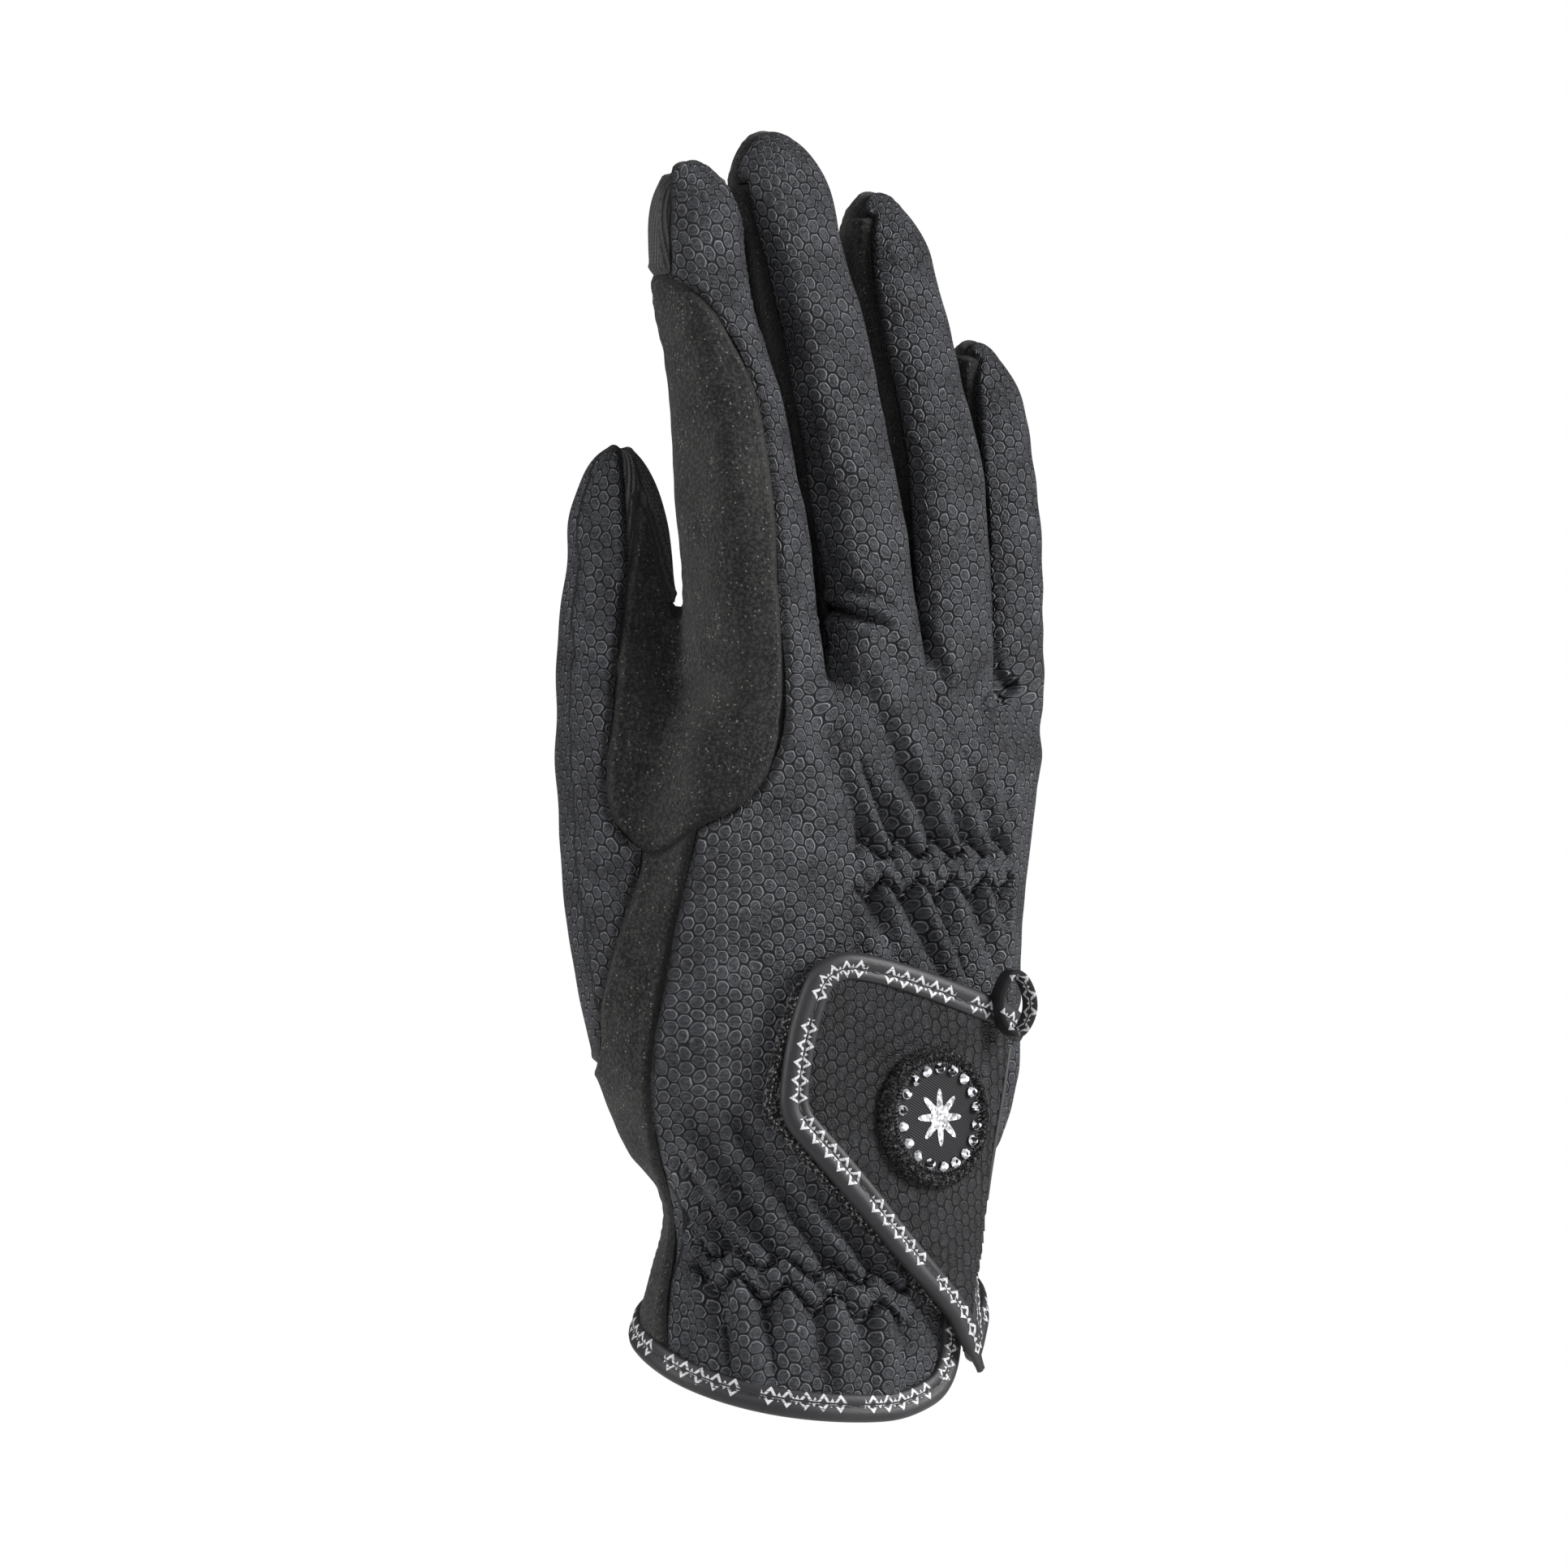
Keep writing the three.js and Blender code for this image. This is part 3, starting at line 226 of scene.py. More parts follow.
def skin_of(distance, low, high, step):
    """Points and quads of a form's skin: one point in each grid cell that the skin crosses."""
    axes = [np.arange(low[i], high[i], step) for i in range(3)]
    grid = np.stack(np.meshgrid(*axes, indexing="ij"), axis=-1)
    values = distance(grid.reshape(-1, 3)).reshape(grid.shape[:3])
    inside = values < 0
    shape = np.array(inside.shape) - 1
    corners = [(i, j, k) for i in (0, 1) for j in (0, 1) for k in (0, 1)]
    held = np.zeros(shape, int)
    for i, j, k in corners:
        held += inside[i : i + shape[0], j : j + shape[1], k : k + shape[2]]
    cells = np.argwhere((held > 0) & (held < 8))
    at = {c: values[cells[:, 0] + c[0], cells[:, 1] + c[1], cells[:, 2] + c[2]] for c in corners}
    total, hits = np.zeros((len(cells), 3)), np.zeros(len(cells))
    for corner in corners:
        for axis in range(3):
            if corner[axis]:
                continue
            end = tuple(1 if i == axis else v for i, v in enumerate(corner))
            a, b = at[corner], at[end]
            crossed = (a < 0) != (b < 0)
            share = np.where(crossed, a / np.where(crossed, a - b, 1), 0)
            place = np.tile(np.array(corner, float), (len(cells), 1))
            place[:, axis] += share
            total += place * crossed[:, None]
            hits += crossed
    points = np.array(low) + step * (cells + total / hits[:, None])
    number = np.full(shape, -1)
    number[tuple(cells.T)] = np.arange(len(cells))
    quads = []
    for axis in range(3):
        b, c = (axis + 1) % 3, (axis + 2) % 3
        ahead = np.take(inside, range(1, inside.shape[axis]), axis=axis)
        here = np.take(inside, range(inside.shape[axis] - 1), axis=axis)
        edges = np.argwhere(ahead != here)
        for side in (b, c):
            edges = edges[(edges[:, side] > 0) & (edges[:, side] < shape[side])]
        leaving = here[tuple(edges.T)]
        ring_of_cells = []
        for back_b, back_c in ((0, 0), (1, 0), (1, 1), (0, 1)):
            cell = edges.copy()
            cell[:, b] -= back_b
            cell[:, c] -= back_c
            ring_of_cells.append(number[tuple(cell.T)])
        quad = np.stack(ring_of_cells, axis=1)
        quads.append(np.where(leaving[:, None], quad, quad[:, ::-1]))
    return points, np.concatenate(quads)


def relax(points, quads, rounds, share):
    """Evens out the spacing of points on a skin."""
    pairs = np.concatenate([quads[:, [i, (i + 1) % 4]] for i in range(4)])
    starts, ends = pairs.T
    count = np.maximum(np.bincount(starts, minlength=len(points)), 1)
    for _ in range(rounds):
        mean = np.stack([np.bincount(starts, points[ends, i], len(points)) for i in range(3)], axis=1)
        points = points + share * (mean / count[:, None] - points)
    return points


skin_step = 0.72 * mm
skin_low = (-47 * mm, -31 * mm, -15.5 * mm)
skin_high = (51 * mm, 31 * mm, 218 * mm)
skin_points, skin_quads = skin_of(glove_distance, skin_low, skin_high, skin_step)
skin_points = settle(skin_points, glove_distance)
skin_points = settle(relax(skin_points, skin_quads, 4, 0.5), glove_distance)


# Cutting lines. The panels are cut along outlines that are drawn on an upright plane, which faces
# drawing_turn from -Y towards -X, along the hem and along the sheet through the middle of the fingers.
drawing_turn = math.radians(36)
across = np.array([math.cos(drawing_turn), -math.sin(drawing_turn), 0])
toward = np.array([-math.sin(drawing_turn), -math.cos(drawing_turn), 0])
wall = 1.4 * mm
hem_drop = 3.2 * mm
hem_lean = 0.36
hem_little_rise = 11 * mm
tape_width = 4.2 * mm
fork_width = 8 * mm
fork_back_share = 0.42
fork_foot_drop = 5 * mm
fork_end_below_tip = 7 * mm
crotch_heights = [128 * mm, 124 * mm, 117 * mm]
index_side_on_finger = [
    (0.772, -1.6), (0.772, -1.02), (0.755, -0.49), (0.707, 0.18),
    (0.625, 0.54), (0.514, 0.64), (0.371, 0.66), (0.148, 0.5),
]
index_side_on_palm = [
    (0.98, -0.42), (0.882, -0.43), (0.813, -0.56), (0.776, -0.79),
    (0.735, -1.04), (0.79, -1.3), (0.98, -1.4),
]
gusset_edges = [
    (0.79, -1.08, -0.85), (0.696, -1.11, -0.84), (0.612, -1.18, -0.875), (0.514, -1.24, -0.92),
    (0.404, -1.27, -0.94), (0.306, -1.5, -0.905), (0.171, -1.6, -0.95), (0.073, -1.6, -0.89),
    (-0.14, -1.6, -0.9),
]
vent_edges = [
    (0.24, 0.85, 0.87), (0.12, 0.87, 0.92), (0.0, 0.865, 0.94), (-0.03, 0.85, 0.94),
    (-0.055, 0.82, 0.95), (-0.08, 0.76, 0.96), (-0.1, 0.58, 0.97), (-0.17, 0.5, 0.99),
]
thumb_inside_edge = [
    (1.1, 0.1), (1.0, 0.1), (0.94, 0.24), (0.65, 0.24),
    (0.52, 0.22), (0.4, 0.16), (0.4, 2.2), (1.1, 3.2),
]
tip_mesh_up, tip_mesh_share = 0.774, -0.68
thumb_mesh_up = 0.776


def ease(low, high, value):
    t = np.clip((value - low) / (high - low), 0, 1)
    return t * t * (3 - 2 * t)


def place_on(tube, share, z):
    """A place on the drawing plane: a share across a tube, as it shows there, at a height."""
    mid_x, mid_y, half_x, half_y, _ = tube.section(z)
    half = math.hypot(half_x * across[0], half_y * across[1])
    return (mid_x * across[0] + mid_y * across[1] + share * half, z)


def flowing(places, parts=6):
    """A smooth closed outline through places on the drawing plane."""
    knots = np.array(places, float)
    count = len(knots)
    outline = []
    for i in range(count):
        p0, p1, p2, p3 = (knots[(i + k) % count] for k in (-1, 0, 1, 2))
        t1 = np.linalg.norm(p1 - p0) ** 0.5
        t2 = t1 + np.linalg.norm(p2 - p1) ** 0.5
        t3 = t2 + np.linalg.norm(p3 - p2) ** 0.5
        for t in np.linspace(t1, t2, parts, endpoint=False):
            a1 = p0 + (p1 - p0) * t / t1
            a2 = p1 + (p2 - p1) * (t - t1) / (t2 - t1)
            a3 = p2 + (p3 - p2) * (t - t2) / (t3 - t2)
            b1 = a1 + (a2 - a1) * t / t2
            b2 = a2 + (a3 - a2) * (t - t1) / (t3 - t1)
            outline.append(b1 + (b2 - b1) * (t - t1) / (t2 - t1))
    return np.array(outline)


def inside_outline(outline, flat):
    """Distance of flat places to a closed outline, positive inside it."""
    nearest = np.full(len(flat), 1e9)
    odd = np.zeros(len(flat), bool)
    for a, b in zip(outline, np.roll(outline, -1, axis=0)):
        run = b - a
        length = run @ run
        if length < 1e-14:
            continue
        t = np.clip(((flat - a) @ run) / length, 0, 1)
        nearest = np.minimum(nearest, np.linalg.norm(flat - a - t[:, None] * run, axis=1))
        spans = (a[1] > flat[:, 1]) != (b[1] > flat[:, 1])
        rise = b[1] - a[1] if b[1] != a[1] else 1e-12
        odd ^= spans & (flat[:, 0] < a[0] + (flat[:, 1] - a[1]) * run[0] / rise)
    return np.where(odd, nearest, -nearest)


def hem_height(x, y):
    return hem_lean * y - hem_drop + hem_little_rise * ease(0.2 * palm_width, 0.36 * palm_width, x)


def finger_sheet(x, z):
    """How far towards the palm the middle of the fingers lies."""
    mids = [tube.section(np.minimum(z, tube.top))[:2] for tube in fingers]
    sheet = mids[0][1]
    for (x0, y0), (x1, y1) in zip(mids, mids[1:]):
        t = np.clip((x - x0) / (x1 - x0), 0, 1)
        sheet = np.where(x > x0, y0 + (y1 - y0) * t, sheet)
    return sheet


def parting(x, z):
    """The sheet that parts the back of the glove from its palm side."""
    thumb_side = ease(0.2 * palm_width, 0.36 * palm_width, -x)
    over_palm = palm.section(z)[1] + 0.3 * palm_depth * thumb_side
    over_fingers = finger_sheet(x, np.maximum(z, palm_height))
    share = ease(0.68 * palm_height, palm_height, z)
    return over_palm + (over_fingers - over_palm) * share


gusset_right = [place_on(palm, right, up * palm_height) for up, _, right in gusset_edges]
gusset_left = [place_on(palm, left, up * palm_height) for up, left, _ in gusset_edges]
gusset_outline = flowing(gusset_right + gusset_left[::-1])
gusset_middle = [((a[0] + b[0]) / 2, a[1]) for a, b in zip(gusset_right, gusset_left)]
beside_thumb_outline = np.array(gusset_middle + [(0.3, -0.3), (0.3, 0.3)])
vent_left = [place_on(palm, left, up * palm_height) for up, left, _ in vent_edges]
vent_right = [place_on(palm, right, up * palm_height) for up, _, right in vent_edges]
vent_outline = flowing(vent_left + vent_right[::-1])
side_on_finger = [
    place_on(index, share, index.foot + up * index.length) for up, share in index_side_on_finger
]
side_on_palm = [place_on(palm, share, up * palm_height) for up, share in index_side_on_palm]
index_side_outline = flowing(side_on_finger + side_on_palm + [place_on(index, -1.8, 1.3 * palm_height)])
thumb_inside_outline = np.array(
    [place_on(thumb, share, thumb.foot + up * thumb.length) for up, share in thumb_inside_edge]
)
tip_mesh_low = index.foot + tip_mesh_up * index.length
tip_mesh_right = place_on(index, tip_mesh_share, tip_mesh_low)[0]
thumb_mesh_low = thumb.foot + thumb_mesh_up * thumb.length
index_middle_at = np.array([float(v) for v in index.section(index.foot + 0.35 * index.length)[:2]] + [0])
index_side_back = 0.2 * index_depth - index_middle_at @ toward
gusset_back = -0.13 * palm_depth


def cutting_fields(points):
    """Signed distances to each cutting line, positive inside the piece that it bounds."""
    x, y, z = points.T
    flat = np.stack([points @ across, z], axis=1)
    front = points @ toward
    above_hem = z - hem_height(x, y)
    off_vent = -inside_outline(vent_outline, flat)
    under_tape = 1 * mm
    fields = {
        "hem": above_hem - tape_width + under_tape,
        "vent": np.maximum(off_vent - 0.9 * tape_width + under_tape, -front),
        "hem_edge": above_hem,
        "vent_edge": np.maximum(off_vent, -front),
        "tip": np.minimum(tip_mesh_right - flat[:, 0], z - tip_mesh_low),
        "index_side": np.minimum(inside_outline(index_side_outline, flat), front + index_side_back),
        "gusset": np.minimum(inside_outline(gusset_outline, flat), front + gusset_back),
        "thumb": np.minimum(
            hand_distance(points) - thumb.distance(points),
            -np.minimum(inside_outline(beside_thumb_outline, flat), front + gusset_back),
        ),
        "thumb_inside": inside_outline(thumb_inside_outline, flat),
        "thumb_mesh": z - thumb_mesh_low,
        "palm_side": y - parting(x, z),
    }
    sheet = finger_sheet(x, z)
    for i, crotch in enumerate(crotch_heights):
        left, right = fingers[i], fingers[i + 1]
        left_x = left.section(np.minimum(z, left.top))[0]
        right_x = right.section(np.minimum(z, right.top))[0]
        share = np.clip((x - left_x) / (right_x - left_x), 0, 1)
        end = left.top + (right.top - left.top) * share - fork_end_below_tip
        limits = [
            x - left_x,
            right_x - x,
            y - sheet + fork_back_share * fork_width,
            sheet + (1 - fork_back_share) * fork_width - y,
            z - crotch + fork_foot_drop,
            end - z,
        ]
        fields[f"fork_{i}"] = np.minimum.reduce(limits)
    return fields


def edges_of(tris):
    """The three edges of each triangle: all the first ones, then the second and the third."""
    return np.concatenate([tris[:, [0, 1]], tris[:, [1, 2]], tris[:, [2, 0]]])


def cut(mesh, field):
    """Splits the triangles of a mesh where a field changes sign."""
    points, tris, fields = mesh
    value = np.where(np.abs(field(fields)) < 0.05 * mm, 0, field(fields))
    sign = np.sign(value).astype(int)
    pairs = np.sort(edges_of(tris), axis=1)
    crossed = sign[pairs[:, 0]] * sign[pairs[:, 1]] < 0
    codes, where = np.unique(pairs[:, 0] * len(points) + pairs[:, 1], return_inverse=True)
    split_code = np.zeros(len(codes), bool)
    split_code[where[crossed]] = True
    start, end = codes[split_code] // len(points), codes[split_code] % len(points)
    share = (value[start] / (value[start] - value[end]))[:, None]
    number = np.full(len(codes), -1)
    number[split_code] = len(points) + np.arange(len(start))
    new_on_edge = number[where].reshape(3, -1).T
    points = np.concatenate([points, points[start] * (1 - share) + points[end] * share])
    part = share[:, 0]
    fields = {k: np.concatenate([v, v[start] * (1 - part) + v[end] * part]) for k, v in fields.items()}
    split = (new_on_edge >= 0).sum(axis=1)
    kept = [tris[split == 0]]
    for k in range(3):
        n, m = (k + 1) % 3, (k + 2) % 3
        lone = (split == 2) & (new_on_edge[:, n] < 0)
        a, b, c = tris[lone, k], tris[lone, n], tris[lone, m]
        p, q = new_on_edge[lone, k], new_on_edge[lone, m]
        kept += [np.stack(t, axis=1) for t in ((a, p, q), (p, b, c), (p, c, q))]
        halved = (split == 1) & (new_on_edge[:, n] >= 0)
        a, b, c = tris[halved, k], tris[halved, n], tris[halved, m]
        p = new_on_edge[halved, n]
        kept += [np.stack(t, axis=1) for t in ((a, b, p), (a, p, c))]
    return points, np.concatenate(kept), fields


skin_tris = np.concatenate([skin_quads[:, [0, 1, 2]], skin_quads[:, [0, 2, 3]]])
glove = (skin_points, skin_tris, cutting_fields(skin_points))
cuts = [
    lambda f: f["hem"],
    lambda f: f["vent"],
    lambda f: f["tip"],
    lambda f: f["index_side"],
    lambda f: f["gusset"],
    lambda f: f["thumb"],
    lambda f: np.minimum(f["thumb"], f["thumb_inside"]),
    lambda f: np.minimum.reduce([f["thumb"], f["thumb_inside"], f["thumb_mesh"]]),
    lambda f: f["fork_0"],
    lambda f: f["fork_1"],
    lambda f: f["fork_2"],
    lambda f: np.where(f["thumb"] > 0, -1, f["palm_side"]),
]
for cutting_line in cuts:
    glove = cut(glove, cutting_line)
glove_points, glove_tris, glove_fields = glove
tri_fields = {k: v[glove_tris].mean(axis=1) for k, v in glove_fields.items()}
shown = (tri_fields["hem"] > 0) & (tri_fields["vent"] > 0)
glove_tris = glove_tris[shown]
tri_fields = {k: v[shown] for k, v in tri_fields.items()}
panel_names = [
    "back_panel", "palm_panel", "index_side_panel", "index_tip_mesh", "wrist_gusset", "thumb_outer",
    "thumb_inner", "thumb_tip_mesh", "fork_index_middle", "fork_middle_ring", "fork_ring_little",
]
on_thumb = tri_fields["thumb"] > 0
in_thumb = on_thumb & (tri_fields["thumb_inside"] > 0)
panel_of = np.select(
    [
        tri_fields["tip"] > 0,
        tri_fields["index_side"] > 0,
        tri_fields["gusset"] > 0,
        in_thumb & (tri_fields["thumb_mesh"] > 0),
        in_thumb,
        on_thumb,
        tri_fields["fork_0"] > 0,
        tri_fields["fork_1"] > 0,
        tri_fields["fork_2"] > 0,
        tri_fields["palm_side"] > 0,
    ],
    [3, 2, 4, 7, 6, 5, 8, 9, 10, 1],
    0,
)
glove_normals, _ = normals_of(glove_points, glove_distance)


# Pattern places. The embossing runs up the glove and round each finger, as it does on leather that
# was cut flat: the first number is the way round a tube from the middle of its back, and the second
# the way up.
def way_round(tube, points, palm_side):
    """The way round a tube, from the middle of its back, or of its palm side for a palm panel."""
    x, y, z = points.T
    step = 1 * mm
    heights = np.arange(tube.low, tube.top, step)
    mid_x, mid_y, half_x, half_y, square = (column[:, None] for column in tube.section(heights))
    turns = 180
    angles = np.linspace(-math.pi, math.pi, turns + 1)[None, :]
    c, s = np.cos(angles), np.sin(angles)
    reach = (np.abs(c) ** square + np.abs(s) ** square) ** (-1 / square)
    run = np.hypot(np.diff(half_x * reach * c, axis=1), np.diff(half_y * reach * s, axis=1))
    girth = np.concatenate([np.zeros((len(heights), 1)), np.cumsum(run, axis=1)], axis=1)
    px, py, pa, pb, _ = tube.section(z)
    row = np.clip((z - heights[0]) / step, 0, len(heights) - 1.001)
    column = (np.arctan2((y - py) / pb, (x - px) / pa) / (2 * math.pi) + 0.5) * turns
    column = np.clip(column, 0, turns - 0.001)
    i, j = row.astype(int), column.astype(int)
    up, on = row - i, column - j
    low = girth[i, j] * (1 - on) + girth[i, j + 1] * on
    high = girth[i + 1, j] * (1 - on) + girth[i + 1, j + 1] * on
    around = low * (1 - up) + high * up
    whole = girth[i, turns]
    if palm_side:
        return 0.75 * whole - np.where(around < 0.25 * whole, around + whole, around)
    return around - 0.25 * whole


def hand_places(points, palm_side=False):
    z = points[:, 2]
    places = palm.section(z)[0] + way_round(palm, points, palm_side)
    owner = np.argmin([tube.distance(points) for tube in fingers], axis=0)
    over = ease(palm_height - 9 * mm, palm_height + 8 * mm, z)
    for i, tube in enumerate(fingers):
        mine = (owner == i) & (over > 0)
        if mine.any():
            on_finger = tube.section(palm_height)[0] + way_round(tube, points[mine], palm_side)
            places[mine] += (on_finger - places[mine]) * over[mine]
    return np.stack([places, z], axis=1)


def thumb_places(points, palm_side=False):
    return np.stack([way_round(thumb, points, palm_side), points[:, 2]], axis=1)


# Seams. Neighbouring panels are sewn face to face and turned, so the skin dips along each seam and
# swells a little beside it, with small puckers from the thread.
seam_groove = 0.55 * mm
seam_groove_width = 0.8 * mm
seam_swell = 0.22 * mm
seam_pucker = 2.6 * mm

edge_pairs = np.sort(edges_of(glove_tris), axis=1)
edge_panels = np.tile(panel_of, 3)
edge_codes = edge_pairs[:, 0] * len(glove_points) + edge_pairs[:, 1]
order = np.argsort(edge_codes, kind="stable")
same = edge_codes[order][:-1] == edge_codes[order][1:]
first, second = order[:-1][same], order[1:][same]
parted = edge_panels[first] != edge_panels[second]
seam_edges = edge_pairs[first[parted]]
seam_panels = np.stack([edge_panels[first[parted]], edge_panels[second[parted]]], axis=1)


def seam_distance(panel, members):
    """Distance of some of a panel's points to its nearest seam."""
    own = (seam_panels == panel).any(axis=1)
    a, b = glove_points[seam_edges[own, 0]], glove_points[seam_edges[own, 1]]
    samples = np.concatenate([a + (b - a) * share for share in (0, 0.33, 0.67)])
    tree = kdtree.KDTree(len(samples))
    for i, sample in enumerate(samples):
        tree.insert(sample, i)
    tree.balance()
    return np.array([tree.find(p)[2] for p in glove_points[members]])


def seam_relief(off, places):
    dip = -seam_groove * np.exp(-((off / seam_groove_width) ** 2))
    swell = seam_swell * np.exp(-(((off - 1.9 * seam_groove_width) / seam_groove_width) ** 2))
    pucker = 1 + 0.3 * np.sin(places[:, 1] * 2 * math.pi / seam_pucker + 40 * np.sin(places[:, 1] * 60))
    return dip + swell * pucker


def lumps(points, lengths, heights, seed):
    """Soft unevenness of a hide: a few crossing waves of each length."""
    chance = np.random.default_rng(seed)
    total = np.zeros(len(points))
    for length, height in zip(lengths, heights):
        for _ in range(5):
            way = chance.normal(size=3)
            way /= np.linalg.norm(way)
            phase = chance.uniform(0, 2 * math.pi)
            total += height / 5 * np.sin(points @ way * (2 * math.pi / length) + phase)
    return total


def new_object(name, data):
    """An object in the scene, at the origin and unturned."""
    made = bpy.data.objects.new(name, data)
    bpy.context.scene.collection.objects.link(made)
    return made


def new_piece(name, points, faces, places, material, replaced, seam=None):
    """A closed mesh piece of the glove, with its pattern places as a UV map."""
    mesh = bpy.data.meshes.new(name)
    mesh.vertices.add(len(points))
    mesh.vertices.foreach_set("co", np.asarray(points, np.float32).ravel())
    corners = np.concatenate([np.asarray(f, np.int32).ravel() for f in faces])
    sizes = np.concatenate([np.full(len(f), np.shape(f)[1]) for f in faces])
    mesh.loops.add(len(corners))
    mesh.loops.foreach_set("vertex_index", corners)
    mesh.polygons.add(len(sizes))
    starts = np.concatenate([[0], np.cumsum(sizes)[:-1]])
    mesh.polygons.foreach_set("loop_start", starts.astype(np.int32))
    mesh.polygons.foreach_set("loop_total", sizes.astype(np.int32))
    mesh.update(calc_edges=True)
    mesh.validate()
    mesh.polygons.foreach_set("use_smooth", np.ones(len(mesh.polygons), bool))
    mesh.set_sharp_from_angle(angle=math.radians(55))
    loops = np.empty(len(mesh.loops), np.int32)
    mesh.loops.foreach_get("vertex_index", loops)
    uv = mesh.uv_layers.new(name="pattern")
    uv.data.foreach_set("uv", np.asarray(places, np.float32)[loops].ravel())
    if seam is not None:
        layer = mesh.attributes.new("seam", "FLOAT", "POINT")
        layer.data.foreach_set("value", np.asarray(seam, np.float32))
    mesh.materials.append(material)
    piece = new_object(name, mesh)
    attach(piece, "root")
    if replaced:
        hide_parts(*replaced)
    return piece


def rim_of(tris):
    """The open edges of a patch of triangles, in the patch's own direction."""
    pairs = edges_of(tris)
    code = np.sort(pairs, axis=1) @ np.array([int(tris.max()) + 1, 1])
    _, where, times = np.unique(code, return_inverse=True, return_counts=True)
    return pairs[times[where] == 1]


def walled(outside, inside, tris):
    """Points and faces of a patch with an outside, an inside and a closed rim."""
    count = len(outside)
    rim = rim_of(tris)
    rim_quads = np.stack([rim[:, 1], rim[:, 0], rim[:, 0] + count, rim[:, 1] + count], axis=1)
    return np.concatenate([outside, inside]), [tris, tris[:, ::-1] + count, rim_quads]


def sew_panel(node, finish, material, relief):
    """One cut panel: its outside, its inside a wall's thickness below and the rim between them."""
    panel = panel_names.index(node)
    members, local = np.unique(glove_tris[panel_of == panel], return_inverse=True)
    tris = local.reshape(-1, 3)
    points, normals = glove_points[members], glove_normals[members]
    on_palm = node in ("palm_panel", "thumb_inner", "thumb_tip_mesh")
    places = (thumb_places if node.startswith("thumb") else hand_places)(points, on_palm)
    off = seam_distance(panel, members)
    push = seam_relief(off, places) + relief(points, normals, places)
    outside = points + normals * push[:, None]
    inside = points + normals * (np.minimum(push, 0) - wall)[:, None]
    shell, faces = walled(outside, inside, tris)
    places, seam = np.tile(places, (2, 1)), np.tile(off, 2)
    return new_piece(f"{node}_{finish}", shell, faces, places, material, [node], seam)


# Sums of shader nodes, which the finishes below are written with.
class Wire:
    """A value between the nodes of a tree."""

    def __init__(self, tree, socket):
        self.tree, self.socket = tree, socket

    def maths(self, operation, *others):
        return add_node(self.tree, "ShaderNodeMath", self, *others, operation=operation)

    def __add__(self, other):
        return self.maths("ADD", other)

    def __sub__(self, other):
        return self.maths("SUBTRACT", other)

    def __mul__(self, other):
        return self.maths("MULTIPLY", other)

    def __truediv__(self, other):
        return self.maths("DIVIDE", other)

    def __abs__(self):
        return self.maths("ABSOLUTE")

    def bell(self, middle, width):
        off = (self - middle) / width
        return (off * off * -1.0).maths("EXPONENT")

    def rise(self, low, high):
        settings = {"interpolation_type": "SMOOTHSTEP"}
        return add_node(self.tree, "ShaderNodeMapRange", self, low, high, **settings)

    def blend(self, dark, light):
        """Between two colours by this value."""
        gap = [None] * 5
        return add_node(self.tree, "ShaderNodeMix", self, *gap, dark, light, output=2, data_type="RGBA")

    def vector(self, operation, *others, output=0):
        settings = {"output": output, "operation": operation}
        return add_node(self.tree, "ShaderNodeVectorMath", self, *others, **settings)

    def parts(self):
        node = self.tree.nodes.new("ShaderNodeSeparateXYZ")
        self.tree.links.new(self.socket, node.inputs[0])
        return [Wire(self.tree, socket) for socket in node.outputs]


def add_node(tree, kind, *values, output=0, **settings):
    node = tree.nodes.new(kind)
    for key, setting in settings.items():
        setattr(node, key, setting)
    for socket, value in zip(node.inputs, values):
        if isinstance(value, Wire):
            tree.links.new(value.socket, socket)
        elif value is not None:
            socket.default_value = value
    return Wire(tree, node.outputs[output])


def new_group(name, inputs, outputs):
    """A node group with named sockets: its inputs as wires, and a function that fills an output."""
    group = bpy.data.node_groups.new(name, "ShaderNodeTree")
    kinds = {"Places": "NodeSocketVector", "Colour": "NodeSocketColor"}
    for side, labels in (("INPUT", inputs), ("OUTPUT", outputs)):
        for label in labels:
            kind = kinds.get(label, "NodeSocketFloat")
            group.interface.new_socket(name=label, in_out=side, socket_type=kind)
    source = group.nodes.new("NodeGroupInput")
    sink = group.nodes.new("NodeGroupOutput")

    def fill(label, wire):
        group.links.new(wire.socket, sink.inputs[label])

    return group, [Wire(group, source.outputs[label]) for label in inputs], fill


def use_group(tree, group, *values):
    """Places a group in a material, and gives its outputs by name."""
    node = tree.nodes.new("ShaderNodeGroup")
    node.node_tree = group
    for socket, value in zip(node.inputs, values):
        if isinstance(value, Wire):
            tree.links.new(value.socket, socket)
        else:
            socket.default_value = value
    return {socket.name: Wire(tree, socket) for socket in node.outputs}


def new_finish(name, specular=0.5, sheen=0.0, sheen_roughness=0.5):
    """A material, its tree and the pattern places of the piece that it is on."""
    material = bpy.data.materials.new(name)
    material.use_nodes = True
    tree = material.node_tree
    shader = tree.nodes["Principled BSDF"]
    shader.inputs["Specular IOR Level"].default_value = specular
    shader.inputs["Sheen Weight"].default_value = sheen
    shader.inputs["Sheen Roughness"].default_value = sheen_roughness
    places = add_node(tree, "ShaderNodeUVMap", uv_map="pattern")
    return material, tree, places


def object_places(tree):
    """Places of the piece itself, in metres, for a finish that doesn't follow a pattern."""
    return add_node(tree, "ShaderNodeTexCoord", output=3)


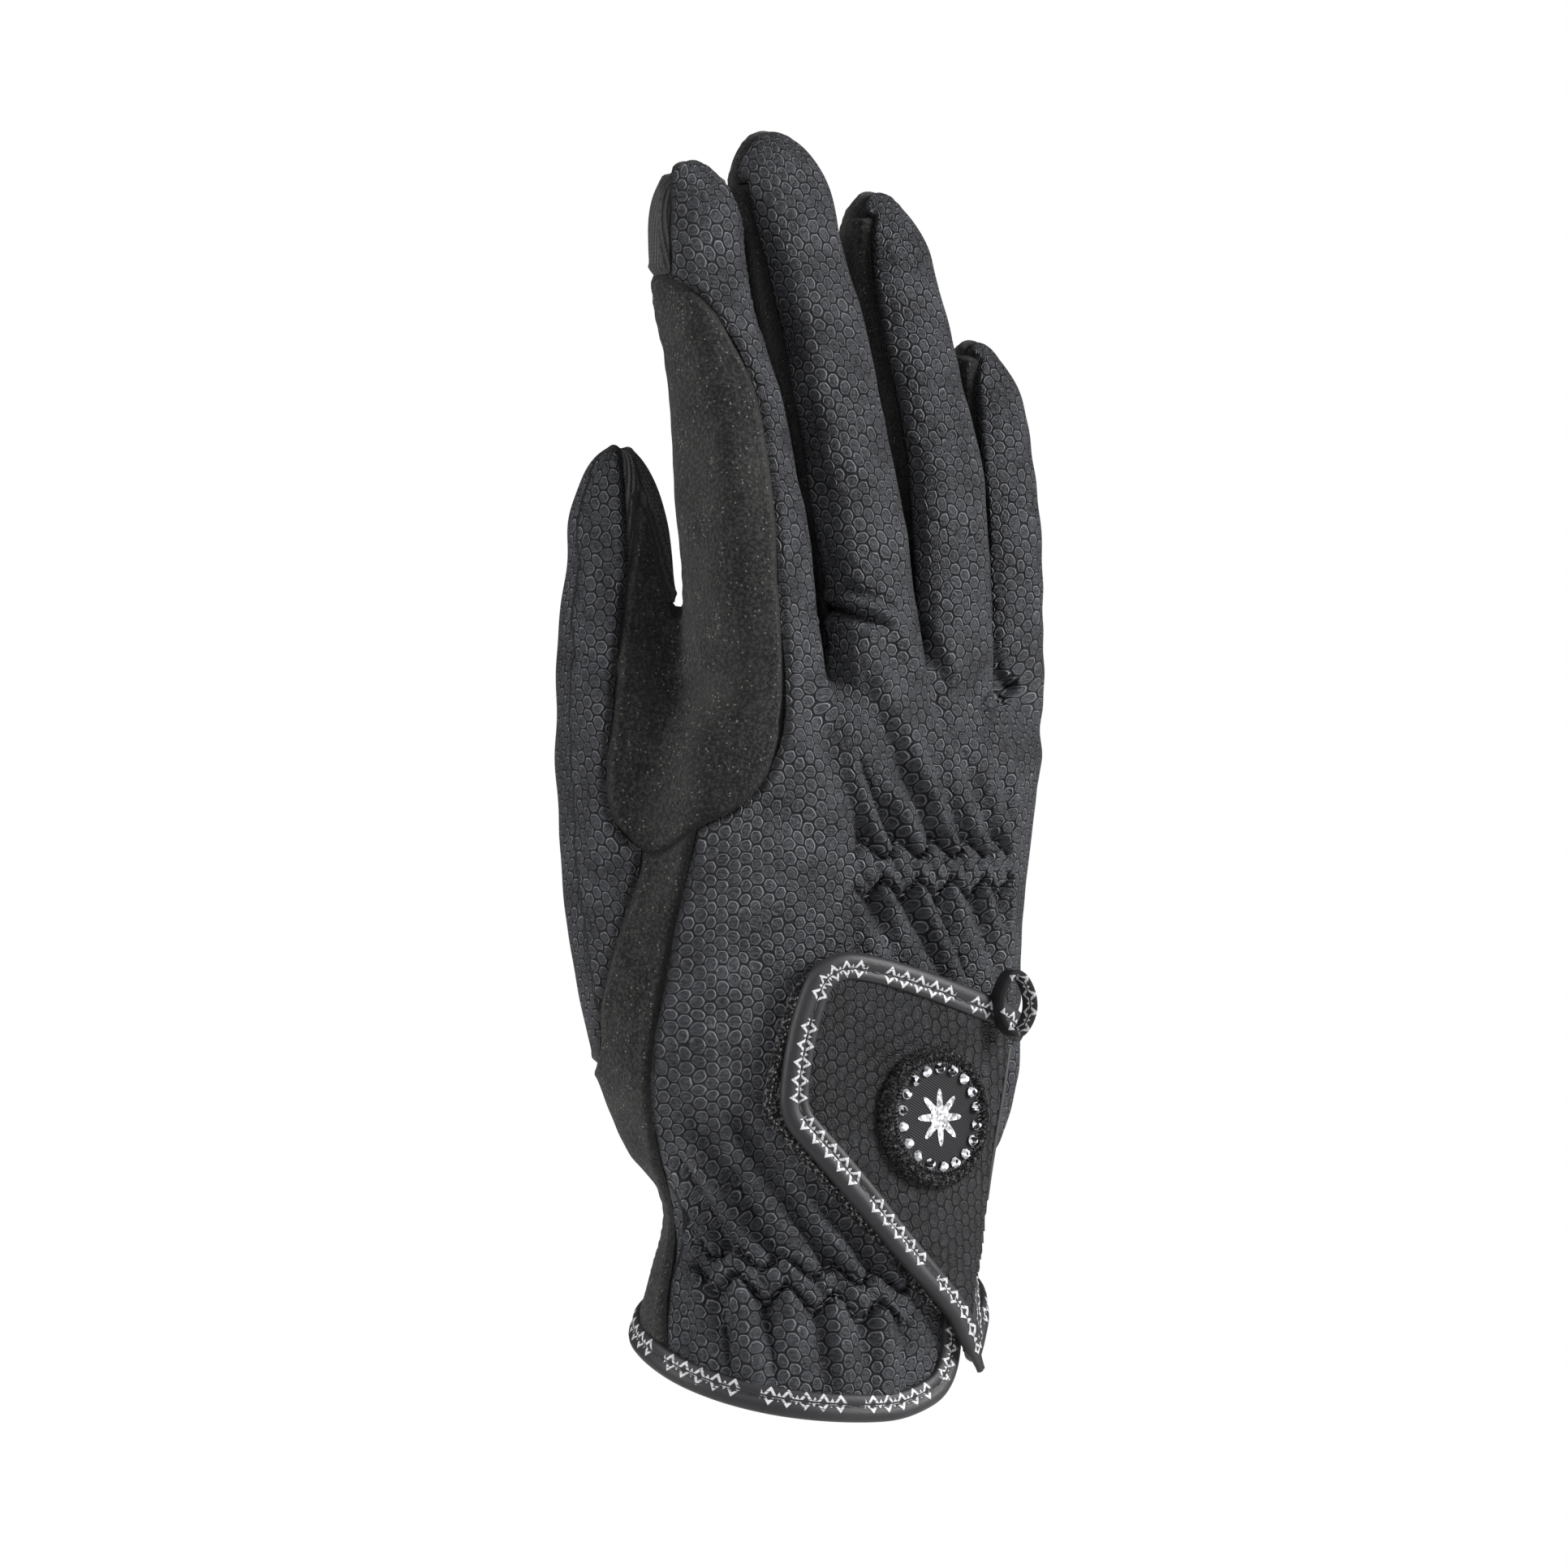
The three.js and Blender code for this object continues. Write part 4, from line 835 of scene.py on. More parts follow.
def set_finish(material, colour, roughness, height, depth):
    tree = material.node_tree
    shader = tree.nodes["Principled BSDF"]
    tree.links.new(colour.socket, shader.inputs["Base Color"])
    tree.links.new(roughness.socket, shader.inputs["Roughness"])
    bump = tree.nodes.new("ShaderNodeBump")
    bump.inputs["Distance"].default_value = depth
    tree.links.new(height.socket, bump.inputs["Height"])
    tree.links.new(bump.outputs["Normal"], shader.inputs["Normal"])


# Fine grain of a hide, a nap or a yarn: a fine height and a slow, cloudy tone.
grain, (grain_places, grain_size, grain_stretch), fill_grain = new_group(
    "fine_grain", ["Places", "Size", "Stretch"], ["Height", "Tone"]
)
grain_x, grain_y, grain_z = grain_places.parts()
stretched = add_node(grain, "ShaderNodeCombineXYZ", grain_x / grain_stretch, grain_y, grain_z)
per_size = add_node(grain, "ShaderNodeMath", 1.0, grain_size, operation="DIVIDE")
scaled_to_size = stretched.vector("SCALE", None, None, per_size)
fill_grain("Height", add_node(grain, "ShaderNodeTexNoise", scaled_to_size, None, 1.0, 3.0, 0.65))
fill_grain("Tone", add_node(grain, "ShaderNodeTexNoise", grain_places, None, 110.0, 3.0, 0.6))

# Fish-scale embossing: ovals in columns, each half a step off the next, pressed into the leather by
# a roller. Each has a domed, wrinkled face, a thin raised rim that stands highest at its top, and
# sunk ground round it.
scales, (scale_places, scale_pitch), fill_scales = new_group(
    "fish_scales", ["Places", "Pitch"], ["Height", "Rim", "Ground", "Chance", "Ripple"]
)
one = add_node(scales, "ShaderNodeMath", 1.0, scale_pitch, operation="DIVIDE")
straight = scale_places.vector("SCALE", None, None, one)
slow_drift = add_node(scales, "ShaderNodeTexNoise", straight, None, 0.22, 2.0, 0.5, output=1)
quick_drift = add_node(scales, "ShaderNodeTexNoise", straight, None, 0.9, 1.0, 0.5, output=1)
drifted = straight.vector("ADD", slow_drift.vector("SCALE", None, None, 1.1))
drifted = drifted.vector("ADD", quick_drift.vector("SCALE", None, None, 0.3))
drift_x, drift_y, _ = drifted.parts()
upright = add_node(scales, "ShaderNodeCombineXYZ", drift_y, drift_x * 1.1, 0.0)
half_row = math.sqrt(3) / 2
first_cell = upright.vector("WRAP", (0.5, half_row, 1.0), (-0.5, -half_row, -1.0))
moved = upright.vector("ADD", (0.5, half_row, 0.0))
second_cell = moved.vector("WRAP", (0.5, half_row, 1.0), (-0.5, -half_row, -1.0))
first_reach = first_cell.vector("LENGTH", output=1)
second_reach = second_cell.vector("LENGTH", output=1)
nearer = first_reach.maths("LESS_THAN", second_reach)
which_cell = [nearer, None, None, None, second_cell, first_cell]
in_cell = add_node(scales, "ShaderNodeMix", *which_cell, output=1, data_type="VECTOR")
cell_name = upright.vector("SUBTRACT", in_cell).vector("SNAP", (0.25, 0.25, 0.25))
chance_of_cell = add_node(scales, "ShaderNodeTexWhiteNoise", cell_name, noise_dimensions="3D")
cell_up, cell_side, _ = in_cell.parts()
reach = in_cell.vector("LENGTH", output=1) * 2.0
hexagon = abs(cell_up).maths("MAXIMUM", abs(cell_up) * 0.5 + abs(cell_side) * half_row) * 2.0
from_middle = (reach * 0.55 + hexagon * 0.45) * (chance_of_cell * 0.14 + 0.94)
topness = (cell_up * 1.3 + cell_side * 1.1 + 0.6).maths("MINIMUM", 1.0).maths("MAXIMUM", 0.12)
face = from_middle.rise(1.0, 0.84)
rim = from_middle.bell(0.8, 0.085) * topness
ripple_places = add_node(scales, "ShaderNodeCombineXYZ", drift_x * 2.4, drift_y * 5.2, 0.0)
ripple = add_node(scales, "ShaderNodeTexNoise", ripple_places, None, 1.0, 3.0, 0.6)
dome = (from_middle * from_middle) * -0.3 + 1.0
fill_scales("Height", face * (dome * 0.5 + rim * 0.6) + ripple * 1.1)
fill_scales("Ripple", ripple)
fill_scales("Rim", rim)
fill_scales("Ground", face * -1.0 + 1.0)
fill_scales("Chance", chance_of_cell)


# The back of the hand and fingers: one panel of black grained leather, embossed with scales. It is
# gathered on elastic over the knuckles and at the wrist, each with two zigzag rows of stitches, and
# creased where the hand bends it. It is sewn to the palm, the forks and the gusset.
leather_black = (0.0045, 0.0047, 0.0056, 1)
leather_pale = tuple(8 * v for v in leather_black[:3]) + (1,)
# Near black of the sunk ground, also used along the seams: painted shade.
painted_ground_shade = (0.0008, 0.0008, 0.001, 1)
# Pale grey of the scales' rims: a painted highlight.
painted_rim_highlight = (0.24, 0.244, 0.26, 1)
scale_height = 0.8 * mm
scale_step = 2.5 * mm


def scaled_finish(name, pitch, height):
    material, tree, places = new_finish(name, specular=0.22)
    pattern = use_group(tree, scales, places, pitch)
    hide = use_group(tree, grain, places, 0.45 * mm, 1.6)
    # Cloudy tone of the hide, with painted shade on the ripples: crests painted paler, troughs darker.
    tone_and_ripple_shade = hide["Tone"].rise(0.3, 0.7) * 0.35 + pattern["Ripple"].rise(0.36, 0.68) * 0.65
    tone = tone_and_ripple_shade.blend(leather_black, leather_pale)
    # Painted highlight: the rims are painted pale, most on their upper side, in random strength.
    wear_and_highlight = pattern["Chance"] * 0.45 + hide["Tone"].rise(0.35, 0.65) * 0.45 + 0.15
    rim_highlighted = (pattern["Rim"] * wear_and_highlight).blend(tone, painted_rim_highlight)
    # Painted shade: the sunk ground round each scale is painted near black.
    ground_shaded = (pattern["Ground"] * 0.85).blend(rim_highlighted, painted_ground_shade)
    # Painted shade in the seam's groove: the colour darkens to near black towards a seam.
    seam = add_node(tree, "ShaderNodeAttribute", output=2, attribute_name="seam")
    shaded = seam.rise(0.0018, 0.0003).maths("MULTIPLY", 0.7).blend(ground_shaded, painted_ground_shade)
    polish = pattern["Chance"] * 0.08 - pattern["Rim"] * 0.1
    roughness = pattern["Ground"] * 0.35 + hide["Height"] * 0.2 + polish + 0.32
    set_finish(material, shaded, roughness, pattern["Height"] + hide["Height"] * 0.22, height)
    return material


scaled_leather = scaled_finish("scaled_leather", scale_step, scale_height)

photo_turn = math.radians(35)
photo_across = np.array([math.cos(photo_turn), -math.sin(photo_turn), 0])
photo_toward = np.array([-math.sin(photo_turn), -math.cos(photo_turn), 0])

# Creases of the back, on the upright plane that faces the camera: from and to, in mm across and up,
# then depth and width in mm.
back_creases = [
    (1.2, 129.8, 13.2, 126.9, 1.3, 1.1), (5.0, 133.5, 14.0, 130.5, 0.55, 1.0),
    (18.5, 126.5, 24.0, 116.0, 0.8, 1.6), (13.5, 124.5, 21.5, 112.5, 0.6, 2.0),
    (33.5, 117.8, 36.4, 116.5, 0.9, 1.0), (36.4, 116.5, 31.0, 112.5, 0.9, 1.1),
    (34.0, 115.5, 28.5, 107.5, 0.5, 1.9), (2.0, 124.0, 7.5, 111.5, 0.6, 2.2),
    (-1.0, 114.0, 7.5, 96.0, 0.7, 2.4), (8.7, 115.5, 16.0, 99.5, 0.6, 2.2),
    (15.5, 107.5, 19.5, 96.0, 0.5, 2.0), (-9.5, 95.5, 2.0, 89.0, 0.5, 2.2),
    (-18.8, 37.0, -9.5, 24.5, 0.65, 2.0), (-13.7, 40.5, -2.2, 23.0, 0.6, 2.2),
    (-5.8, 33.5, 4.3, 21.5, 0.6, 1.9), (-21.5, 24.5, -17.3, 17.3, 0.6, 1.4),
    (-14.0, 71.5, -6.0, 62.0, 0.3, 3.0), (22.0, 104.0, 30.0, 96.0, 0.35, 2.4),
    (-10.5, 168.0, -6.0, 166.5, 0.3, 0.9), (-5.5, 152.0, -1.5, 150.0, 0.3, 0.9),
    (3.0, 168.0, 12.0, 165.5, 0.35, 1.0), (6.0, 152.0, 15.0, 149.5, 0.35, 1.0),
    (9.0, 139.0, 17.0, 136.5, 0.4, 1.0), (19.0, 162.0, 27.0, 160.0, 0.35, 1.0),
    (22.0, 144.0, 31.0, 142.0, 0.35, 1.0), (24.0, 132.0, 32.5, 130.5, 0.35, 1.0),
    (34.0, 150.0, 40.0, 148.5, 0.3, 0.9), (36.0, 136.0, 41.0, 134.5, 0.3, 0.9),
]

# The gathers, in mm: height of the row's middle where it starts, where its first low point lies on
# the way round, how it falls along the row, half the zigzag's height and its pitch.
knuckle_rows = [(87.3, 1.5, 0.0, 1.6, 7.7), (80.3, 5.35, 0.0, 1.7, 7.7)]
wrist_rows = [(17.4, -32.0, -0.18, 1.6, 8.6), (12.3, -32.0, -0.2, 2.0, 8.6)]
knuckle_span = (-6.5, 36.0)
wrist_span = (-41.0, 30.0)
tuck_depth = 1.35 * mm
tuck_width = 0.6 * mm
ridge_between_rows = 0.95 * mm

# The folds that run out of a gather: how far each leans, its height, and its reach in mm.
knuckle_folds_above = (0.5, 3.7 * mm, 18)
knuckle_folds_below = (0.55, 3.4 * mm, 17)
wrist_folds_above = (0.7, 3.7 * mm, 17)
wrist_folds_below = (0.08, 3.2 * mm, 16)

# Where the tab and its pad hold the back flat, on the plane that faces the camera, in mm: a place on
# the pad's edge and the way square to it, and the stretch beside the slit's tape.
pad_edge_at = np.array([-7.8, 40.3])
pad_edge_out = np.array([35.1, 29.8]) / 46
slit_tape_side = (15.5, 19.5)
slit_tape_top = (17, 11)
held_share = 0.88

# The tab's sewn side on the same plane, as (up, across) in mm, with its groove and the roll beyond it.
sewn_side = [(-2, 28.6), (8.7, 29.6), (15.9, 31.0), (31.4, 32.5), (42.3, 34.3), (52.2, 35.9), (58, 37.0)]
sewn_groove, sewn_groove_width = 1.7 * mm, 0.75
sewn_roll, sewn_roll_width, sewn_roll_off = 0.35 * mm, 1.2, 2.3


def row_height(row, way):
    """Height of a zigzag row at a way round, both in mm."""
    level, start, fall, half, pitch = row
    share = np.mod((way - start) / pitch, 1)
    return level + fall * (way - start) + half * (1 - 4 * np.abs(share - 0.5))


def puffs(row, way, up, shift, slant, height, reach):
    """Folds that run out of a gathered row: `shift` 0 starts at its low points, 0.5 at its high ones."""
    level, start, fall, half, pitch = row
    beyond = up - (level + fall * (way - start))
    phase = (way + slant * beyond - start) / pitch - shift
    number = np.round(phase).astype(int)
    chance = np.random.default_rng(17)
    sizes = chance.uniform(0.7, 1.25, 64)[number % 64]
    lengths = reach * chance.uniform(0.6, 1.3, 64)[number % 64]
    crest = (0.5 + 0.5 * np.cos(2 * math.pi * phase)) ** 0.8 - 0.5
    return height * sizes * crest * np.exp(-((np.abs(beyond) / lengths) ** 1.6))


def gather_relief(rows, span, places, above, below):
    """A gathered strip: tucks under two zigzag rows, and puffs between them and out to each side."""
    way, up = places.T / mm
    upper, lower = rows
    top, foot = row_height(upper, way), row_height(lower, way)
    over = ease(0, 0.8, up - top) * puffs(upper, way, up, 0.0, *above)
    under = ease(0, 0.8, foot - up) * puffs(lower, way, up, 0.5, *below)
    between = ease(0, 1.0, np.minimum(top - up, up - foot))
    waves = np.abs(np.sin(math.pi * (way - upper[1]) / upper[4] * 2 + 0.5 * up))
    middle = between * ridge_between_rows * waves
    tucks = 0
    for row, line in ((upper, top), (lower, foot)):
        lean = 1 / math.hypot(1, 4 * row[3] / row[4])
        tucks = tucks - tuck_depth * np.exp(-(((up - line) * lean * mm / tuck_width) ** 2))
    ends = ease(span[0], span[0] + 5, way) * ease(span[1], span[1] - 3, way)
    return ends * (over + under + middle + tucks)


def on_photo(points):
    """Places of points on the upright plane that faces the camera."""
    return np.stack([points @ photo_across, points[:, 2]], axis=1)


def crease_relief(points, creases):
    flat = on_photo(points) / mm
    total = np.zeros(len(points))
    for x0, z0, x1, z1, depth, width in creases:
        start, run = np.array([x0, z0]), np.array([x1 - x0, z1 - z0])
        t = ((flat - start) @ run) / (run @ run)
        held = np.clip(t, 0, 1)
        off = np.linalg.norm(flat - start - held[:, None] * run, axis=1)
        fade = np.exp(-((np.maximum(np.abs(t - 0.5) - 0.35, 0) / 0.25) ** 2))
        hollow = np.exp(-((off / width) ** 2)) - 0.45 * np.exp(-(((off - 1.9 * width) / width) ** 2))
        total -= 1.45 * depth * mm * fade * hollow
    return total


def held_flat(points):
    """How far the tab, its pad or the slit's tape holds the back flat, from 0 to 1."""
    flat = on_photo(points) / mm
    under_pad = ease(-1.5, 2.0, (flat - pad_edge_at) @ pad_edge_out)
    by_slit = ease(*slit_tape_side, flat[:, 0]) * ease(*slit_tape_top, flat[:, 1])
    return np.maximum(under_pad, by_slit)


def roll_relief(points, normals):
    """The groove along the tab's sewn side, and the rolled strip of the back beyond it."""
    over, up = on_photo(points).T / mm
    off = over - np.interp(up, *np.array(sewn_side).T) - 0.5
    shown = ease(-0.35, 0.05, normals @ photo_toward) * ease(-2, 3, up) * ease(60, 55, up)
    groove = sewn_groove * np.exp(-((off / sewn_groove_width) ** 2))
    roll = sewn_roll * np.exp(-(((off - sewn_roll_off) / sewn_roll_width) ** 2))
    return shown * (roll - groove)


def back_relief(points, normals, places):
    front = ease(0.05, 0.45, normals @ photo_toward)
    side = ease(-0.5, 0.1, normals @ toward)
    folds = knuckle_folds_above, knuckle_folds_below
    knuckles = gather_relief(knuckle_rows, knuckle_span, places, *folds)
    wrist = gather_relief(wrist_rows, wrist_span, places, wrist_folds_above, wrist_folds_below)
    hem = ease(0, 5 * mm, places[:, 1] - hem_height(points[:, 0], points[:, 1]) - 3 * mm)
    soft = lumps(points, (27 * mm, 14 * mm, 7 * mm), (0.55 * mm, 0.35 * mm, 0.14 * mm), 4)
    free = (0.35 + 0.65 * hem) * (1 - held_share * held_flat(points))
    gathers = side * (knuckles + wrist * free)
    return front * crease_relief(points, back_creases) + gathers + soft + roll_relief(points, normals)


sew_panel("back_panel", "leather", scaled_leather, back_relief)

# The outside of the thumb: the same leather, cut in one piece and set into the hand with a seam that
# runs up both sides. It creases where the thumb bends.
thumb_creases = [
    (-33.5, 92.5, -29.5, 90.0, 0.5, 1.1), (-34.0, 96.5, -30.0, 94.5, 0.4, 1.1),
    (-36.0, 101.0, -31.5, 99.5, 0.3, 1.2), (-43.0, 122.0, -34.0, 119.5, 0.3, 1.3),
    (-42.0, 138.0, -34.0, 136.5, 0.25, 1.2), (-38.0, 84.0, -31.0, 88.0, 0.4, 1.6),
]


def thumb_relief(points, normals, places):
    front = ease(0.05, 0.45, normals @ photo_toward)
    soft = lumps(points, (25 * mm, 13 * mm, 7 * mm), (0.55 * mm, 0.35 * mm, 0.12 * mm), 9)
    return front * crease_relief(points, thumb_creases) + soft


sew_panel("thumb_outer", "leather", scaled_leather, thumb_relief)

# The palm side, the index finger's side, the wrist gusset, the inside of the thumb and the forks
# between the fingers: soft suede, sewn in with turned seams. Its nap is short and dusty, with a few
# pale fibre ends.
suede_black = (0.0022, 0.002, 0.0019, 1)
suede_light = (0.0235, 0.0228, 0.0223, 1)
suede_fleck = (0.13, 0.125, 0.115, 1)
fleck_step = 0.62 * mm

suede, tree, places = new_finish("suede", specular=0.12, sheen=0.06, sheen_roughness=0.6)
places = object_places(tree)
nap = use_group(tree, grain, places, 0.6 * mm, 1.0)
lit_nap = nap["Height"].rise(0.42, 0.64) * 0.8 + nap["Tone"].rise(0.35, 0.7) * 0.35
shade = lit_nap.blend(suede_black, suede_light)
fleck_cell = add_node(tree, "ShaderNodeTexVoronoi", places, None, 1 / fleck_step)
fleck_chance = add_node(tree, "ShaderNodeTexVoronoi", places, None, 1 / fleck_step, output=1)
fleck = fleck_cell.rise(0.34, 0.18) * fleck_chance.parts()[0].rise(0.8, 0.86)
seam = add_node(tree, "ShaderNodeAttribute", output=2, attribute_name="seam")
flecked = (fleck * 0.8).blend(shade, suede_fleck)
# Painted shade in the seam's groove: the suede darkens to near black towards a seam.
set_finish(
    suede,
    (seam.rise(0.0014, 0.0002) * 0.8).blend(flecked, (0.002, 0.002, 0.002, 1)),
    nap["Tone"] * 0.1 + 0.85,
    nap["Height"] + fleck * 0.3,
    0.4 * mm,
)


def suede_relief(points, normals, places):
    fine = lumps(points, (9 * mm, 4.5 * mm), (0.16 * mm, 0.06 * mm), 23)
    return lumps(points, (28 * mm, 15 * mm), (0.6 * mm, 0.35 * mm), 21) + fine


for panel_name in (
    "palm_panel", "index_side_panel", "wrist_gusset", "thumb_inner",
    "fork_index_middle", "fork_middle_ring", "fork_ring_little",
):
    sew_panel(panel_name, "suede", suede, suede_relief)

# The patches inside the tips of the index finger and thumb: a ribbed knit that works a touch screen.
# Fine ribs run up the finger, and each is a column of small slanted stitches.
knit_rib = 0.95 * mm
knit_row = 0.7 * mm
knit_dark = (0.003, 0.003, 0.0034, 1)
knit_yarn = (0.017, 0.017, 0.019, 1)

knit, tree, places = new_finish("ribbed_knit", specular=0.25, sheen=0.1)
knit_x, knit_y, _ = places.parts()
rib = (knit_x * (2 * math.pi / knit_rib)).maths("SINE") * 0.5 + 0.5
slanted = knit_y + abs((knit_x / knit_rib).maths("FRACT") - 0.5) * (0.8 * knit_row)
loop_row = (slanted * (2 * math.pi / knit_row)).maths("SINE") * 0.5 + 0.5
yarn = rib * 0.65 + rib * loop_row * 0.35
fuzz = use_group(tree, grain, places, 0.25 * mm, 1.0)
set_finish(
    knit,
    (yarn * (fuzz["Height"] + 0.4)).blend(knit_dark, knit_yarn),
    fuzz["Height"] * 0.2 + 0.6,
    yarn + fuzz["Height"] * 0.2,
    0.3 * mm,
)


def knit_relief(points, normals, places):
    return lumps(points, (22 * mm, 11 * mm), (0.3 * mm, 0.15 * mm), 31)


for panel_name in ("index_tip_mesh", "thumb_tip_mesh"):
    sew_panel(panel_name, "knit", knit, knit_relief)

# Stitches: short lengths of black thread. A Geometry Nodes tree lays one along each point of a line of
# stitches, from the way that the line runs and the way that the skin faces there.
thread_black = (0.006, 0.006, 0.007, 1)
thread, tree, places = new_finish("sewing_thread", specular=0.4)
twist = use_group(tree, grain, object_places(tree), 0.2 * mm, 1.0)
set_finish(
    thread,
    twist["Height"].blend(thread_black, (0.02, 0.02, 0.022, 1)),
    twist["Height"] * 0.2 + 0.45,
    twist["Height"],
    0.06 * mm,
)


def stitch_tree():
    tree = bpy.data.node_groups.new("thread_stitches", "GeometryNodeTree")
    tree.interface.new_socket(name="Geometry", in_out="INPUT", socket_type="NodeSocketGeometry")
    sizes = ("Length", "Width", "Height")
    for label in sizes:
        tree.interface.new_socket(name=label, in_out="INPUT", socket_type="NodeSocketFloat")
    tree.interface.new_socket(name="Finish", in_out="INPUT", socket_type="NodeSocketMaterial")
    tree.interface.new_socket(name="Geometry", in_out="OUTPUT", socket_type="NodeSocketGeometry")
    source = tree.nodes.new("NodeGroupInput")
    asked = {label: Wire(tree, source.outputs[label]) for label in ("Geometry", *sizes, "Finish")}
    ball = add_node(tree, "GeometryNodeMeshUVSphere", 6, 5, 0.5)
    size = add_node(tree, "ShaderNodeCombineXYZ", *(asked[label] for label in sizes))
    stitch = add_node(tree, "GeometryNodeTransform")
    tree.links.new(ball.socket, stitch.socket.node.inputs["Geometry"])
    tree.links.new(size.socket, stitch.socket.node.inputs["Scale"])
    way = add_node(tree, "GeometryNodeInputNamedAttribute", "along", data_type="FLOAT_VECTOR")
    out = add_node(tree, "GeometryNodeInputNamedAttribute", "out", data_type="FLOAT_VECTOR")
    laid = add_node(tree, "FunctionNodeAlignRotationToVector", None, 1.0, way, axis="X")
    facing = {"axis": "Z", "pivot_axis": "X"}
    turned = add_node(tree, "FunctionNodeAlignRotationToVector", laid, 1.0, out, **facing)
    sown = tree.nodes.new("GeometryNodeInstanceOnPoints")
    tree.links.new(asked["Geometry"].socket, sown.inputs["Points"])
    tree.links.new(stitch.socket, sown.inputs["Instance"])
    tree.links.new(turned.socket, sown.inputs["Rotation"])
    real = tree.nodes.new("GeometryNodeRealizeInstances")
    tree.links.new(sown.outputs[0], real.inputs[0])
    finished = tree.nodes.new("GeometryNodeSetMaterial")
    tree.links.new(real.outputs[0], finished.inputs["Geometry"])
    tree.links.new(asked["Finish"].socket, finished.inputs["Material"])
    sink = tree.nodes.new("NodeGroupOutput")
    tree.links.new(finished.outputs[0], sink.inputs[0])
    return tree


stitching = stitch_tree()


def grow(name, tree, points, vectors, inputs):
    """Runs a Geometry Nodes tree on points with vectors, and keeps the result as a plain mesh."""
    mesh = bpy.data.meshes.new(f"{name}_points")
    mesh.vertices.add(len(points))
    mesh.vertices.foreach_set("co", np.asarray(points, np.float32).ravel())
    for label, values in vectors.items():
        layer = mesh.attributes.new(label, "FLOAT_VECTOR", "POINT")
        layer.data.foreach_set("vector", np.asarray(values, np.float32).ravel())
    carrier = new_object(f"{name}_points", mesh)
    modifier = carrier.modifiers.new("grow", "NODES")
    modifier.node_group = tree
    for item in tree.interface.items_tree:
        if item.in_out == "INPUT" and item.name in inputs:
            modifier[item.identifier] = inputs[item.name]
    bpy.context.view_layer.update()
    evaluated = carrier.evaluated_get(bpy.context.evaluated_depsgraph_get())
    grown = bpy.data.meshes.new_from_object(evaluated)
    grown.name = name
    bpy.data.objects.remove(carrier)
    bpy.data.meshes.remove(mesh)
    return grown


def sew(name, points, along, out, length, width, height=None, finish=thread):
    """One line of stitches, or several, as a piece."""
    inputs = {"Length": length, "Width": width, "Height": height or width, "Finish": finish}
    grown = grow(name, stitching, points, {"along": along, "out": out}, inputs)
    grown.polygons.foreach_set("use_smooth", np.ones(len(grown.polygons), bool))
    piece = new_object(name, grown)
    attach(piece, "root")
    return piece


def spaced(line, spacing, closed=False):
    """A line with its points an even way apart."""
    line = np.asarray(line, float)
    if closed:
        line = np.concatenate([line, line[:1]])
    run = np.concatenate([[0], np.cumsum(np.linalg.norm(np.diff(line, axis=0), axis=1))])
    count = max(int(round(run[-1] / spacing)), 2)
    at = np.linspace(0, run[-1], count + 1)
    if closed:
        at = at[:-1]
    return np.stack([np.interp(at, run, column) for column in line.T], axis=1)


def run_of(line, closed=False):
    """The way that a line runs at each of its points."""
    if closed:
        way = np.roll(line, -1, axis=0) - np.roll(line, 1, axis=0)
    else:
        way = np.gradient(line, axis=0)
    return way / np.linalg.norm(way, axis=1)[:, None]


# The zigzag rows of the two gathers, laid on the smooth back and sunk so that the thread lies in its
# tuck.
def back_point(way, up):
    """Points of the smooth back at a way round and a height, both in metres."""
    points = []
    for goal, z in zip(way, up):
        mid_x, mid_y, half_x, half_y, square = (float(v) for v in palm.section(z))
        turns = np.linspace(-math.pi, 0, 361)
        c, s = np.cos(turns), np.sin(turns)
        reach = (np.abs(c) ** square + np.abs(s) ** square) ** (-1 / square)
        rim_x, rim_y = half_x * reach * c, half_y * reach * s
        run = np.concatenate([[0], np.cumsum(np.hypot(np.diff(rim_x), np.diff(rim_y)))])
        at = goal - mid_x + np.interp(-math.pi / 2, turns, run)
        points.append((mid_x + np.interp(at, run, rim_x), mid_y + np.interp(at, run, rim_y), z))
    return np.array(points)


gather_stitch = 2.1 * mm
gather_thread = (1.75 * mm, 0.42 * mm, 0.36 * mm)
row_points, row_runs = [], []
for rows, span in ((knuckle_rows, knuckle_span), (wrist_rows, wrist_span)):
    for row in rows:
        way = np.arange(span[0] + 1.5, span[1] - 1.5, 0.25)
        line = back_point(way * mm, row_height(row, way) * mm)
        line = spaced(line, gather_stitch)
        row_points.append(settle(line, glove_distance))
        row_runs.append(run_of(line))
row_points, row_runs = np.concatenate(row_points), np.concatenate(row_runs)
row_normals, _ = normals_of(row_points, glove_distance)
held_down = row_points - row_normals * (0.55 * tuck_depth)
sew("gather_stitches", held_down, row_runs, row_normals, *gather_thread)

# The tape round the opening: one strip folded over the edge of the hem and of the slit, and sewn
# through all layers along its middle. It is a smooth charcoal tape with a row of small silver
# lozenges printed on it.
tape_charcoal = (0.006, 0.006, 0.007, 1)
tape_silver = (0.37, 0.37, 0.38, 1)
lozenge_pitch = 3.25 * mm
lozenge_wide = 1.3 * mm
lozenge_tall = 1.75 * mm
lozenge_group = 19.5 * mm


